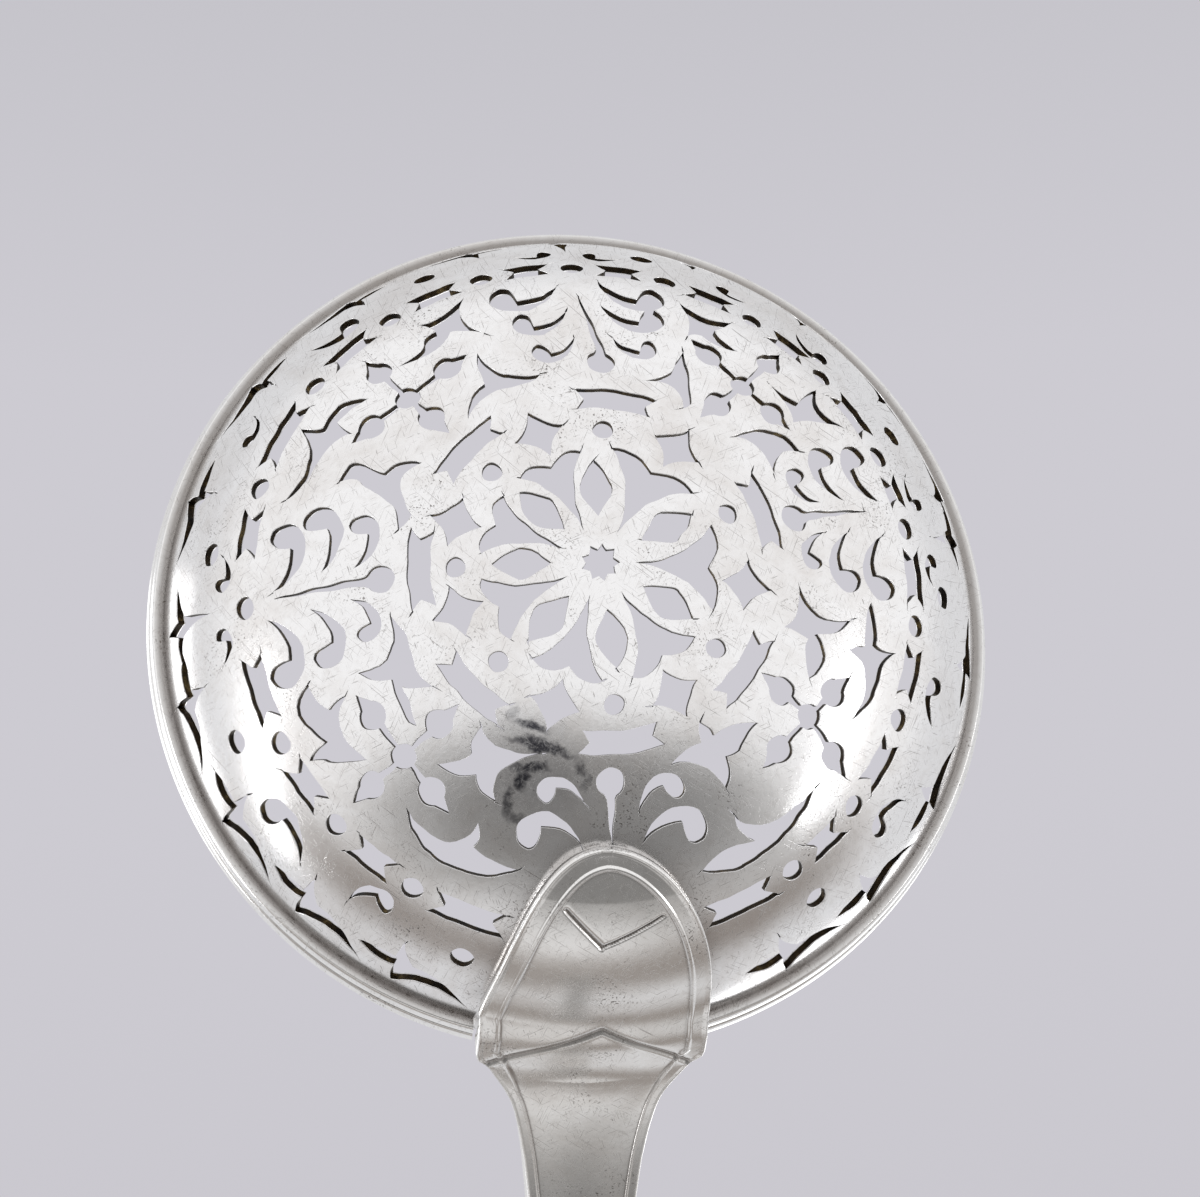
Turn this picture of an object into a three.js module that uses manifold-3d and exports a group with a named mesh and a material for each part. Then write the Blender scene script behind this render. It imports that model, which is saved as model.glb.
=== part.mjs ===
// A silver sifter spoon: a deep round bowl pierced all over with a saw, a reeded wire
// soldered round its lip, and a forged fiddle handle whose tongue is soldered to the bowl's back.
// Millimetres, +Z up. The bowl opens upwards, the handle runs towards -Y, and the origin is
// the middle of the spoon's footprint on the table that it lies on.
import * as THREE from 'three';
import { mergeVertices } from 'three/addons/utils/BufferGeometryUtils.js';
import Module from 'manifold-3d';

// Driving sizes of the whole spoon and of the raised bowl.
const OVERALL_LENGTH = 212;
const BOWL_DIAMETER = 68;
const BOWL_WALL = 1;
const LIP_SLOPE = 83.8;
const CROWN_EASE = 0.484;
const WORN_FLAT = 4.2;

// The reeded wire round the lip, and the seat that solder fills between the pieces.
const SOLDER_SEAT = 0.3;
const WIRE_BAND = 4.3;
const WIRE_THICKNESS = 0.55;
const REED_RELIEF = 0.4;
const REED_COUNT = 2;
const WIRE_END_CLEARANCE = 0.3;

// The tongue on the bowl's back, and the neck that bends out of it over the lip.
const TONGUE_LENGTH = 21.6;
const TONGUE_HALF_WIDTH = 9.1;
const TONGUE_THICKNESS = 1.5;
const TONGUE_LEAN = 0.9;
const NECK_FILLET = 5;
const NECK_RISE = 36;
const NECK_THICKNESS = 4.2;
const SHOULDER_HALF_WIDTH = 8;
const SHOULDER_FLARE = 4.9;
const FLARE_LENGTH = 5.2;

// The stem, its arch and its fiddle end. Both leads are how far the arch follows its end slopes.
const STEM_HALF_WIDTH = 3.25;
const STEM_THICKNESS = 3.2;
const ARCH_LEAD = 46;
const TIP_LEAD = 52;
const TIP_SLOPE = 14;
const FIDDLE_LENGTH = 52;
const FIDDLE_SHOULDER_HALF_WIDTH = 8.3;
const FIDDLE_END_HALF_WIDTH = 11.6;
const FIDDLE_THICKNESS = 2.4;
const ROUND_START = 0.78;
const THREAD_WIDTH = 0.55;
const THREAD_RELIEF = 0.35;
const CROWN = 0.12;

// The piercing is drawn on the bowl's back rolled out flat, as a disc of this radius, and is
// carried onto the bowl in proportion. Bearings are degrees, anticlockwise on the back, and the
// handle lies at 270, to which the drawing is turned a little. The holes were marked out and
// sawn by hand, so a ring isn't quite even.
const SHEET_RADIUS = 43.36;
const SHEET_TURN = 1.2;
const HANDLE_BEARING = 270;
const STAR_POINTS = 9;
const STAR_OUTER = 1.55;
const STAR_INNER = 1.1;
const PETAL_TIP = 8.4;
const PETAL_BEARINGS = [90, 135.5, 179, 225.7, 275.5, 327, 387];
const DOT_RING = 11.1;
const DOT_RADIUS = 0.83;
const DOT_BEARINGS = [20.9, 85.4, 135.7, 179.5, 222.6, 273, 321.9];
const DIAMOND_RING = 11.6;
const DIAMOND_REACH = 2.1;
const DIAMOND_BEARINGS = [54.8, 110.7, 160.7, 196.7, 250, 297.4, 351];
const BANNER_RING = 14;
const BANNER_WIDTH = 1.9;
const BANNER_HALF_LENGTH = 3.2;
const BANNER_BEARINGS = [18, 81.3, 134.5, 179, 222.5, 274.4, 322.5];
const PALMETTE_RING = 17;
const CLUB_RADIUS = 1.15;
const CROSS_RING = 21.3;
const CROSS_HUB_RADIUS = 1.05;
const CROSS_LOBE_RADIUS = 1.15;
const CROSS_SLIT = 0.36;
const CROSS_SPIKE = 2.2;
const BORDER_RING = 29.1;
const BORDER_DOT_RADIUS = 0.92;
const BORDER_BAR_WIDTH = 2.1;
const BORDER_WEB = 0.8;
const BORDER_NOTCH = 0.95;
const BORDER_BEARINGS = [
  303, 318, 335, 352, 369.7, 383.7, 401.2, 417, 433.5, 449.5, 465.2, 482.4, 500, 520.5, 541.6, 565.3, 581.4,
  597.4,
];
const SPARED_BEARING = 541.6;
const SPARED_CUTBACK = 4.6;
const SEED_RING = 33.1;
const SEED_RADIUS = 0.95;
const SEED_BEARINGS = [27, 77.7, 112.6, 171.4, 201, 248.7, 304.8, 358.8];
const RIM_RING = 36.9;
const TREFOIL_BEARINGS = [9.3, 90.2, 180.9];
const RIM_LEAF_BEARINGS = [
  20.7, 38, 55, 74, 107.6, 126.9, 145.9, 165.4, 195.5, 212.9, 228.8, 244.8, 301.8, 317.3, 333.8, 354,
];

// The bowl was raised a little out of round, so its outer rings are nearer the pole at the sides.
const RING_OVAL = 0.65;
const RING_OVAL_BEARING = 5;
const RING_SHIFT = 0.5;

// How finely the round shapes are divided.
const CURVE_STEPS = 2;
const LIP_STEPS = 64;
const LONGEST_EDGE = 4.6;
const MOST_PASSES = 60;

const wasm = await Module();
wasm.setup();

const radians = THREE.MathUtils.degToRad;
const degrees = THREE.MathUtils.radToDeg;
const { lerp } = THREE.MathUtils;
const bowlRadius = BOWL_DIAMETER / 2;

// The raised bowl's profile: how steep the wall stands at a share of the way from pole to lip.
const slopeAt = (share) => radians(LIP_SLOPE) * ((1 - CROWN_EASE) * share + CROWN_EASE * share ** 3);

// Adds up the profile from the pole to a share of its length, for a profile one unit long.
function runAndRise(share) {
  const steps = 40;
  let [run, rise] = [0, 0];
  for (let i = 0; i < steps; i += 1) {
    const slope = slopeAt((share * (i + 0.5)) / steps);
    run += (Math.cos(slope) * share) / steps;
    rise += (Math.sin(slope) * share) / steps;
  }
  return [run, rise];
}

const lipArc = bowlRadius / runAndRise(1)[0];
const flatRise = runAndRise(WORN_FLAT / lipArc)[1] * lipArc;

// The bowl's outer skin at a distance from the pole along it: radius, height and slope.
function skinAt(arc) {
  const share = arc / lipArc;
  const [run, rise] = runAndRise(share);
  const flat = arc <= WORN_FLAT;
  return {
    radius: run * lipArc,
    height: flat ? 0 : rise * lipArc - flatRise,
    slope: flat ? 0 : slopeAt(share),
  };
}

// A point above (or, with a negative lift, inside) the outer skin, by arc and bearing.
function onBack(arc, bearing, lift = 0) {
  const { radius, height, slope } = skinAt(arc);
  const out = radius + lift * Math.sin(slope);
  const angle = radians(bearing);
  return new THREE.Vector3(-out * Math.cos(angle), out * Math.sin(angle), height - lift * Math.cos(slope));
}

const lip = skinAt(lipArc);

// Turns a closed triangle mesh into a solid that can be cut, facing outwards.
function solidOf(geometry) {
  const bare = geometry.clone();
  bare.deleteAttribute('normal');
  bare.deleteAttribute('uv');
  const merged = mergeVertices(bare, 1e-4);
  const spots = merged.attributes.position;
  const corners = merged.index ? merged.index.array : spots.array.map((_, i) => i);
  const triangle = new THREE.Triangle();
  const triangles = [];
  let volume = 0;
  for (let i = 0; i < corners.length; i += 3) {
    const [a, b, c] = [corners[i], corners[i + 1], corners[i + 2]];
    if (a === b || b === c || c === a) continue;
    triangle.setFromAttributeAndIndices(spots, a, b, c);
    volume += triangle.a.dot(triangle.b.cross(triangle.c));
    triangles.push([a, b, c]);
  }
  const outwards = volume > 0 ? triangles : triangles.map(([a, b, c]) => [a, c, b]);
  const mesh = new wasm.Mesh({
    numProp: 3,
    vertProperties: new Float32Array(spots.array),
    triVerts: new Uint32Array(outwards.flat()),
  });
  return new wasm.Manifold(mesh);
}

function geometryOf(solid) {
  const mesh = solid.getMesh();
  const geometry = new THREE.BufferGeometry();
  geometry.setAttribute('position', new THREE.BufferAttribute(new Float32Array(mesh.vertProperties), 3));
  geometry.setIndex(new THREE.BufferAttribute(new Uint32Array(mesh.triVerts), 1));
  return geometry;
}

// Outlines are drawn with y running outwards from the pole and x across it, clockwise, from an
// origin on their ring. An entry is [x, y] for a straight cut or [cx, cy, x, y] for a curved one.
function outline(start, ...cuts) {
  const path = new THREE.Path();
  path.moveTo(...start);
  for (const cut of cuts) {
    if (cut.length === 2) path.lineTo(...cut);
    else path.quadraticCurveTo(...cut);
  }
  return path.getPoints(CURVE_STEPS).slice(0, -1).map((point) => [point.x, point.y]);
}

const mirrored = (points) => points.map(([x, y]) => [-x, y]).reverse();

function roundHole(radius, sides) {
  return Array.from({ length: sides }, (_, i) => {
    const turn = (2 * Math.PI * (i + 0.5)) / sides;
    return [radius * Math.sin(turn), radius * Math.cos(turn)];
  });
}

function onSheet(reach, bearing) {
  const turn = radians(bearing + SHEET_TURN);
  return new THREE.Vector2(reach * Math.cos(turn), reach * Math.sin(turn));
}

// Two ways to lay an outline on the sheet: flat on its bearing, or bent along its ring.
function laid(points, ring, bearing) {
  return points.map(([x, y]) => onSheet(Math.hypot(x, ring + y), bearing - degrees(Math.atan2(x, ring + y))));
}

function bent(points, ring, bearing) {
  return points.map(([x, y]) => onSheet(ring + y, bearing - degrees(x / girthAt(ring))));
}

// The bowl's radius where a ring of the sheet comes to lie.
const girthAt = (ring) => skinAt((ring * lipArc) / SHEET_RADIUS).radius;

// As bent, but on one of the outer rings, which aren't quite round.
function swayed(points, ring, bearing) {
  const oval = RING_OVAL * Math.cos(2 * radians(bearing - RING_OVAL_BEARING));
  return bent(points, ring - oval - RING_SHIFT * Math.cos(radians(bearing)), bearing);
}

// A comma between two places: from the tip of its tail to the middle of its round head. It bulges
// towards the pole, and a tail to the left of the head gives the mirrored comma.
function comma([tailX, tailY], [headX, headY]) {
  const length = Math.hypot(headX - tailX, headY - tailY);
  const turn = Math.atan2(headY - tailY, Math.abs(headX - tailX));
  const shape = outline(
    [0, 0],
    [0.4, -0.3, 0.8, -0.19],
    [0.76, 0.22, 0.97, 0.26],
    [1.25, 0.22, 1.26, -0.1],
    [1.2, -0.44, 0.7, -0.51],
    [0.25, -0.42, 0, 0],
  );
  const points = shape.map(([x, y]) => [
    tailX + length * (x * Math.cos(turn) - y * Math.sin(turn)),
    tailY + length * (x * Math.sin(turn) + y * Math.cos(turn)),
  ]);
  return headX > tailX ? points : points.map(([x, y]) => [2 * tailX - x, y]);
}

// The flower in the middle: a star, the petals round it and the gaps between them.
function flowerHoles() {
  const star = Array.from({ length: 2 * STAR_POINTS }, (_, i) => {
    return onSheet(i % 2 ? STAR_INNER : STAR_OUTER, (180 * i) / STAR_POINTS);
  });
  const petal = outline(
    [0, -4.7],
    [1.7, -2.6, 1.2, -1.9],
    [0.9, -0.9, 0, 0],
    [-0.9, -0.9, -1.2, -1.9],
    [-1.7, -2.6, 0, -4.7],
  );
  const gap = (halfAngle) => {
    const wide = halfAngle / 25.7;
    return outline(
      [0, -5.7],
      [0.45 * wide, -1.5, 2.98 * wide, 0.4],
      [1.7 * wide, 1.5, 0, 0.2],
      [-1.7 * wide, 1.5, -2.98 * wide, 0.4],
      [-0.45 * wide, -1.5, 0, -5.7],
    );
  };
  const holes = [star];
  PETAL_BEARINGS.forEach((bearing, i) => {
    const next = PETAL_BEARINGS[i + 1] ?? PETAL_BEARINGS[0] + 360;
    holes.push(laid(petal, PETAL_TIP, bearing));
    holes.push(laid(gap((next - bearing) / 2), PETAL_TIP, (bearing + next) / 2));
  });
  return holes;
}

// Dots and hollow-sided diamonds by turns, with a ring of swallow-tailed banners round them.
function middleHoles() {
  const hollow = DIAMOND_REACH / 3;
  const diamond = outline(
    [0, DIAMOND_REACH],
    [hollow, hollow, DIAMOND_REACH, 0],
    [hollow, -hollow, 0, -DIAMOND_REACH],
    [-hollow, -hollow, -DIAMOND_REACH, 0],
    [-hollow, hollow, 0, DIAMOND_REACH],
  );
  const side = BANNER_WIDTH / 2;
  const [end, notch, third] = [BANNER_HALF_LENGTH, BANNER_HALF_LENGTH - 0.75, BANNER_HALF_LENGTH / 3];
  const banner = [
    [-end, side], [-third, side], [third, side], [end, side], [notch, 0],
    [end, -side], [third, -side], [-third, -side], [-end, -side], [-notch, 0],
  ];
  return [
    ...DOT_BEARINGS.map((bearing) => laid(roundHole(DOT_RADIUS, 10), DOT_RING, bearing)),
    ...DIAMOND_BEARINGS.map((bearing) => laid(diamond, DIAMOND_RING, bearing)),
    ...BANNER_BEARINGS.map((bearing) => bent(banner, BANNER_RING, bearing)),
  ];
}

// Palmettes: a club on the axis, and pairs of commas with their heads away from it. Each is its
// own drawing: the club's head and tip, then the tails and heads of the commas on either side.
// The tongue covers the outer part of the palmette at the handle.
function palmetteHoles() {
  const tongueTip = (tongueTipArc * SHEET_RADIUS) / lipArc - PALMETTE_RING;
  const palmettes = [
    {
      bearing: 14,
      club: [[0, -0.4], [0.3, 6.6]],
      right: [[[1.6, 2], [3.8, 0.1]], [[1.8, 4.3], [5.8, 3.1]], [[2.5, 7.8], [6.9, 6.4]]],
      left: [[[-0.9, 2.5], [-3.5, 1.1]], [[-0.8, 5], [-4.8, 4.4]], [[-0.4, 8.8], [-4.7, 7.8]]],
    },
    {
      bearing: 86,
      club: [[0.1, 0.6], [-1.5, 8.3]],
      right: [[[1.1, 3.4], [4.1, 2.5]], [[0.3, 7.4], [4.6, 6]], [[0.2, 10.9], [4.8, 8.8]]],
      left: [[[-2, 3.2], [-4.7, 1.5]], [[-2.6, 6.2], [-6.2, 4.8]], [[-3.2, 9.7], [-7.9, 8.2]]],
    },
    {
      bearing: 181,
      club: [[0, 0], [-0.1, 9]],
      right: [[[1.2, 2.2], [4.7, 1.4]], [[1.3, 4.9], [5.8, 5.1]], [[0.4, 9.2], [5, 8.1]]],
      left: [[[-1.2, 2.6], [-4.1, 1.4]], [[-1.5, 6], [-5.5, 4.8]], [[-1.8, 9.8], [-6.5, 8.7]]],
    },
    {
      bearing: 270.5,
      club: [[0, 0], [0, tongueTip]],
      right: [[[2.1, 1.5], [5, 0.6]], [[2.4, 4.8], [6.5, 3.8]]],
      left: [[[-2.2, 2.4], [-5.1, 0.6]], [[-2.4, 4.9], [-6.7, 3.9]]],
    },
  ];
  return palmettes.flatMap(({ bearing, club: [[headX, headY], tip], right, left }) => {
    const head = roundHole(CLUB_RADIUS, 9).slice(1, 8).map(([x, y]) => [headX + x, headY + y]);
    const stem = [[headX + 0.4, headY + 1], ...head, [headX - 0.4, headY + 1], [tip[0] - 0.1, tip[1]], tip];
    const commas = [...right, ...left].map(([tail, middle]) => comma(tail, middle));
    return [stem, ...commas].map((points) => laid(points, PALMETTE_RING, bearing));
  });
}

// Crosses: a round hub, joined by saw slits to four round lobes that each end in a spike. The
// lobes' middles are given clockwise from the outer one, measured from the hub's middle.
function crossHoles() {
  const crosses = [
    { bearing: 50.5, hub: [0, -0.7], lobes: [[0.4, 4.1], [3.3, -0.4], [-0.6, -3.2], [-3.8, 0.7]] },
    { bearing: 135.6, hub: [0.9, -0.3], lobes: [[0.6, 3.9], [4.1, -0.6], [-0.3, -2.9], [-3.7, 0.6]] },
    { bearing: 222, hub: [0, 0], lobes: [[0.3, 3.5], [4, -0.5], [-0.2, -3.7], [-3.5, 0.4]] },
    { bearing: 326.5, hub: [0.9, -0.9], lobes: [[1.3, 3.7], [3.6, -0.7], [-0.3, -3.1], [-2.8, 0.8]] },
  ];
  const slit = CROSS_SLIT / 2;
  const arm = ([lobeX, lobeY]) => {
    const reach = Math.hypot(lobeX, lobeY);
    const lobe = [155, 119, 83, 50, 25].map((turn) => {
      const [sine, cosine] = [Math.sin(radians(turn)), Math.cos(radians(turn))];
      return [CROSS_LOBE_RADIUS * sine, reach + CROSS_LOBE_RADIUS * cosine];
    });
    const half = [[slit, CROSS_HUB_RADIUS / 2], ...lobe];
    const points = [...half, [0, reach + CROSS_SPIKE], ...mirrored(half)];
    return points.map(([x, y]) => [(x * lobeY + y * lobeX) / reach, (y * lobeY - x * lobeX) / reach]);
  };
  return crosses.flatMap(({ bearing, hub: [hubX, hubY], lobes }) => {
    const shapes = [roundHole(CROSS_HUB_RADIUS, 10), ...lobes.map(arm)];
    return shapes.map((points) => laid(points.map(([x, y]) => [hubX + x, hubY + y]), CROSS_RING, bearing));
  });
}

// Between each palmette and cross, an inner sprig and an outer crescent with a thorn. No two
// are cut alike, so each has its own outline, measured from the palmettes' ring.
function sprigHoles() {
  const sprigs = [
    [32, [0.7, 3.1], [-2.8, 3.4, -3.2, -1.9], [-2, 0.8, 1.3, -0.5], [-0.8, 1.3, 0.7, 3.1]],
    [
      68, [0.6, 3.8], [1.9, 1.6, 2.6, -1.1], [2.5, -1.6, 2.1, -1.9], [1.4, 0.8, -2.2, -0.9],
      [0.6, 0.3, 0.4, 2.3], [0.5, 3, 0.6, 3.8],
    ],
    [
      111, [-1.2, 3.9], [-1, 1.3, 0.2, 0.8], [0.9, -0.1, 2.6, -0.3], [1.6, -1.1, -0.6, -0.4],
      [-3, -0.1, -4.4, -1.8], [-3.8, 0.4, -1.9, 0.7], [-1.9, 2.4, -1.2, 3.9],
    ],
    [
      158, [0.2, 4.9], [2.9, 5, 2.1, 2.9], [1.8, 2.2, 1.9, 1.5], [3.6, 0.8, 3.4, -1.2],
      [2.3, -0.1, 1.6, -0.1], [0.3, -0.4, -1, -1.9], [-1.8, -1.8, -2.5, -1.3], [-0.9, -0.7, -0.6, 0],
      [0, 1.6, 0.5, 2.9], [1.2, 3.9, 0.2, 4.9],
    ],
    [
      201.5, [0.1, 3.6], [-1.2, 0.2, 3, -0.6], [1, -1.4, -0.5, -0.9], [-2.4, -0.4, -3.6, -1.4],
      [-3.2, 0.2, -2.5, 0.8], [-4.2, 0.7, -5.8, 1.1], [-5.2, 2, -1.7, 1.4], [-1.3, 2.8, 0.1, 3.6],
    ],
    [
      246, [0.6, 3.2], [2.3, 3.1, 2.9, 1.8], [4.1, 2.9, 6, 2.1], [4.2, 1.3, 3.8, 0.4],
      [4.5, -0.8, 3.8, -1.8], [2.6, 0, -1.4, -1.6], [1, -0.1, 1.3, 1.2], [1.3, 2.4, 0.6, 3.2],
    ],
    [
      298, [0, 3.1], [0.1, -0.1, 3.2, -0.8], [1.6, -1.5, 0.2, -1.1], [0, -2.2, -0.6, -2.6],
      [-1.1, -1.8, -1.1, -1.1], [-3.2, -1.5, -4.7, -0.2], [-3.4, 0, -2.4, 1], [-1.8, 1.1, -1.2, 0.9],
      [-0.9, 2.8, 0, 3.1],
    ],
    [
      350, [0.4, 4.1], [2.1, 3.2, 2.4, 1.1], [4, 3.2, 6.1, 0.9], [4.4, -0.1, 2.9, 0.3],
      [2.5, -0.8, 2.5, -1.9], [0.8, 0.1, -2.4, -1.6], [1.2, -0.2, 0.9, 2.6], [0.8, 3.4, 0.4, 4.1],
    ],
  ];
  const crescents = [
    [
      32, [-3.6, 9.3], [-1.8, 6.6, 1.2, 9.8], [-1, 7.4, -1.8, 4.4], [-3, 5.3, -5.8, 5],
      [-4.2, 5.5, -3.1, 6.4], [-3.6, 7.8, -3.6, 9.3],
    ],
    [
      68, [-1.2, 9.9], [1.8, 8, 3.9, 9.8], [3.4, 8.6, 2.6, 7.7], [3.2, 6.8, 5, 6.2], [3, 5.6, 1.8, 6.4],
      [0.9, 6.2, 0.6, 5.6], [0.8, 7.6, -1.2, 9.9],
    ],
    [
      111, [-4.8, 10], [-2.4, 8.4, 0.9, 11.2], [-1.9, 8.4, 0.3, 5.6], [-1.3, 7.2, -2.1, 7.2],
      [-3.6, 5.2, -8, 6], [-5.4, 5.9, -4.7, 7], [-4.3, 8.1, -3.2, 8.1], [-3.7, 9.4, -4.8, 10],
    ],
    [
      158, [-2.1, 9.1], [1.8, 6.9, 4.6, 10.4], [4.5, 9.2, 4.9, 8.4], [8.2, 8.4, 8.2, 5.3],
      [7, 6.6, 5.5, 7.1], [5, 6.2, 4.7, 5.3], [4.2, 7.3, 0.8, 7.5], [-1.2, 7.8, -2.1, 9.1],
    ],
    [
      201.5, [-6.4, 5.7], [-6, 8, -4.9, 9.1], [-4.7, 9.6, -4.4, 10.3], [-3.8, 9.6, -3.6, 8.4],
      [0.6, 11, 1.2, 7.6], [0, 7.8, -1.4, 7], [-1, 6.1, -1.1, 5.2], [-3.2, 8, -6.4, 5.7],
    ],
    [
      246, [-3.1, 7.4], [-1.6, 9.3, 1.6, 9.4], [5.6, 9.4, 7.2, 6], [5.6, 7.5, 3.3, 7.5],
      [1.7, 7.3, 1.3, 5.1], [0.6, 5.9, 0.9, 7.1], [-1, 7.8, -3.1, 7.4],
    ],
    [
      298, [-7, 6.7], [-4.4, 9.2, 0, 9.5], [2.6, 9.9, 4.7, 7.9], [2.2, 6.8, -0.4, 8],
      [0.8, 6.8, 0.3, 5.1], [-0.3, 7.6, -3.9, 7.3], [-5.2, 7.2, -7, 6.7],
    ],
    [
      350, [2, 9.1], [2.8, 7.7, 4.6, 7.6], [7.2, 7.3, 8.5, 5.2], [6.6, 6.7, 4.4, 6],
      [3.4, 5.6, 2.9, 4.1], [2.3, 4.9, 2.3, 5.7], [0.3, 5.2, -1.6, 5.8], [0.2, 7, 1.8, 6.8],
      [2.3, 7.6, 2, 9.1],
    ],
  ];
  const shapes = [...sprigs, ...crescents];
  return shapes.map(([bearing, ...cuts]) => laid(outline(...cuts), PALMETTE_RING, bearing));
}

// The border: dots, with a bar between each two whose notched ends leave an even web. Beside one
// dot the bars are cut back, where two commas come close.
function borderHoles() {
  const girth = girthAt(BORDER_RING);
  const side = BORDER_BAR_WIDTH / 2;
  const bar = (from, to) => {
    const end = (radians(to - from) * girth) / 2 - BORDER_DOT_RADIUS - BORDER_WEB;
    const notch = end - BORDER_NOTCH;
    const points = [
      [-end, side], [0, side], [end, side], [notch, 0],
      [end, -side], [0, -side], [-end, -side], [-notch, 0],
    ];
    return swayed(points, BORDER_RING, (from + to) / 2);
  };
  const cutback = (bearing) => (bearing === SPARED_BEARING ? SPARED_CUTBACK : 0);
  const tongueFlank = degrees((TONGUE_HALF_WIDTH * 0.75 + BORDER_DOT_RADIUS) / girth);
  const [first, last] = [BORDER_BEARINGS[0], BORDER_BEARINGS[BORDER_BEARINGS.length - 1] - 360];
  return [
    ...BORDER_BEARINGS.map((bearing) => swayed(roundHole(BORDER_DOT_RADIUS, 8), BORDER_RING, bearing)),
    ...BORDER_BEARINGS.slice(1).map((bearing, i) => {
      const [fromCut, toCut] = [cutback(BORDER_BEARINGS[i]), cutback(bearing)];
      return bar(BORDER_BEARINGS[i] + fromCut, bearing - toCut);
    }),
    bar(last, HANDLE_BEARING - tongueFlank + degrees((BORDER_DOT_RADIUS + BORDER_WEB) / girth)),
    bar(HANDLE_BEARING + tongueFlank - degrees((BORDER_DOT_RADIUS + BORDER_WEB) / girth), first),
  ];
}

// Seeds and commas between the border and the rim's leaves.
function seedHoles() {
  const commas = [
    { bearing: 14.5, tail: [-2.6, -2.4], head: [0, -2.1] },
    { bearing: 38, tail: [-6.3, -1], head: [-3.2, -1.9] },
    { bearing: 62, tail: [1.7, -1], head: [-0.9, -0.8] },
    { bearing: 86, tail: [2.6, -0.6], head: [0, -0.3] },
    { bearing: 93.5, tail: [-2.6, 0.2], head: [0, 0.1] },
    { bearing: 127.2, tail: [-3.8, 1.2], head: [0, 0] },
    { bearing: 152, tail: [2.2, 0.9], head: [-0.1, 0.1] },
    { bearing: 176.7, tail: [2.4, -1.6], head: [0, -1.5] },
    { bearing: 184.8, tail: [-2.5, -1.1], head: [0, -1.4] },
    { bearing: 212.6, tail: [-4.5, 1.5], head: [-0.1, 0.5] },
    { bearing: 232.6, tail: [1.4, 1.1], head: [-1.2, -0.9] },
    { bearing: 319.6, tail: [-3.2, 0.4], head: [0.1, -0.3] },
    { bearing: 344, tail: [3.3, -0.2], head: [0.1, -1.2] },
    { bearing: 364.4, tail: [2.5, -2.3], head: [0, -2.1] },
  ];
  return [
    ...SEED_BEARINGS.map((bearing) => swayed(roundHole(SEED_RADIUS, 8), SEED_RING, bearing)),
    ...commas.map(({ bearing, tail, head }) => bent(comma(tail, head), SEED_RING, bearing)),
  ];
}

// The rim's leaves: a crescent with a side leaf and a tail, and a trefoil on each free axis.
function rimHoles() {
  const leaf = outline(
    [-4, 2.7], [-0.6, -0.3, 2.4, 2.9], [2.7, 1.7, 2.6, 0.6], [4, 1.5, 6, 0.1], [4.2, -0.6, 2.8, -0.4],
    [2.8, -1.5, 2.5, -2.3], [2.1, -0.9, 1.2, -0.2], [-1.3, -0.6, -4, 2.7],
  );
  const trefoil = outline(
    [-3.4, 0.3], [-2, 1.3, -0.7, 0.8], [-0.5, 1.9, -0.1, 2.9], [0.3, 1.9, 0.5, 0.8], [2.1, 1.4, 3.6, 0.9],
    [1.9, 0.5, 0.8, -0.5], [0.4, -2.5, 0.2, -4.2], [0, -2, -0.9, -0.2], [-2, 0.4, -3.4, 0.3],
  );
  return [
    ...RIM_LEAF_BEARINGS.map((bearing) => bent(leaf, RIM_RING, bearing)),
    ...TREFOIL_BEARINGS.map((bearing) => swayed(trefoil, RIM_RING, bearing)),
  ];
}

// A flat plate of any outline, as a solid.
function plate(points, bottom, top) {
  const options = { depth: top - bottom, bevelEnabled: false };
  return solidOf(new THREE.ExtrudeGeometry(new THREE.Shape(points), options).translate(0, 0, bottom));
}

// The pierced sheet: the disc less every hole, and less any sliver that two crossing saw cuts free.
// Returns its corners and the triangles of one face.
function piercedSheet() {
  const edge = Array.from({ length: LIP_STEPS }, (_, i) => onSheet(SHEET_RADIUS, (360 * i) / LIP_STEPS));
  const holes = [
    ...flowerHoles(), ...middleHoles(), ...palmetteHoles(), ...crossHoles(),
    ...sprigHoles(), ...borderHoles(), ...seedHoles(), ...rimHoles(),
  ];
  const sawn = holes.reduce((disc, hole) => disc.subtract(plate(hole, -1, 2)), plate(edge, 0, 1));
  const [sheet] = sawn.decompose().sort((a, b) => b.volume() - a.volume());
  const face = geometryOf(sheet);
  const spots = face.attributes.position;
  const corners = [];
  const cornerOf = new Map();
  const triangles = [];
  for (let i = 0; i < face.index.count; i += 3) {
    const three = [0, 1, 2].map((k) => face.index.getX(i + k));
    if (three.some((k) => spots.getZ(k) < 0.5)) continue;
    triangles.push(three.map((k) => {
      if (!cornerOf.has(k)) {
        cornerOf.set(k, corners.length);
        corners.push(new THREE.Vector2(spots.getX(k), spots.getY(k)));
      }
      return cornerOf.get(k);
    }));
  }
  return { corners, triangles };
}

// Each directed edge of the triangles, with the triangle that it bounds and the corner opposite.
function edgesOf(triangles) {
  const edges = new Map();
  triangles.forEach(([a, b, c], i) => {
    edges.set(`${a} ${b}`, [i, c]).set(`${b} ${c}`, [i, a]).set(`${c} ${a}`, [i, b]);
  });
  return edges;
}

function cornerAngle(corners, a, tip, b) {
  const one = corners[a].clone().sub(corners[tip]);
  const other = corners[b].clone().sub(corners[tip]);
  return Math.atan2(Math.abs(one.cross(other)), one.dot(other));
}

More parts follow.
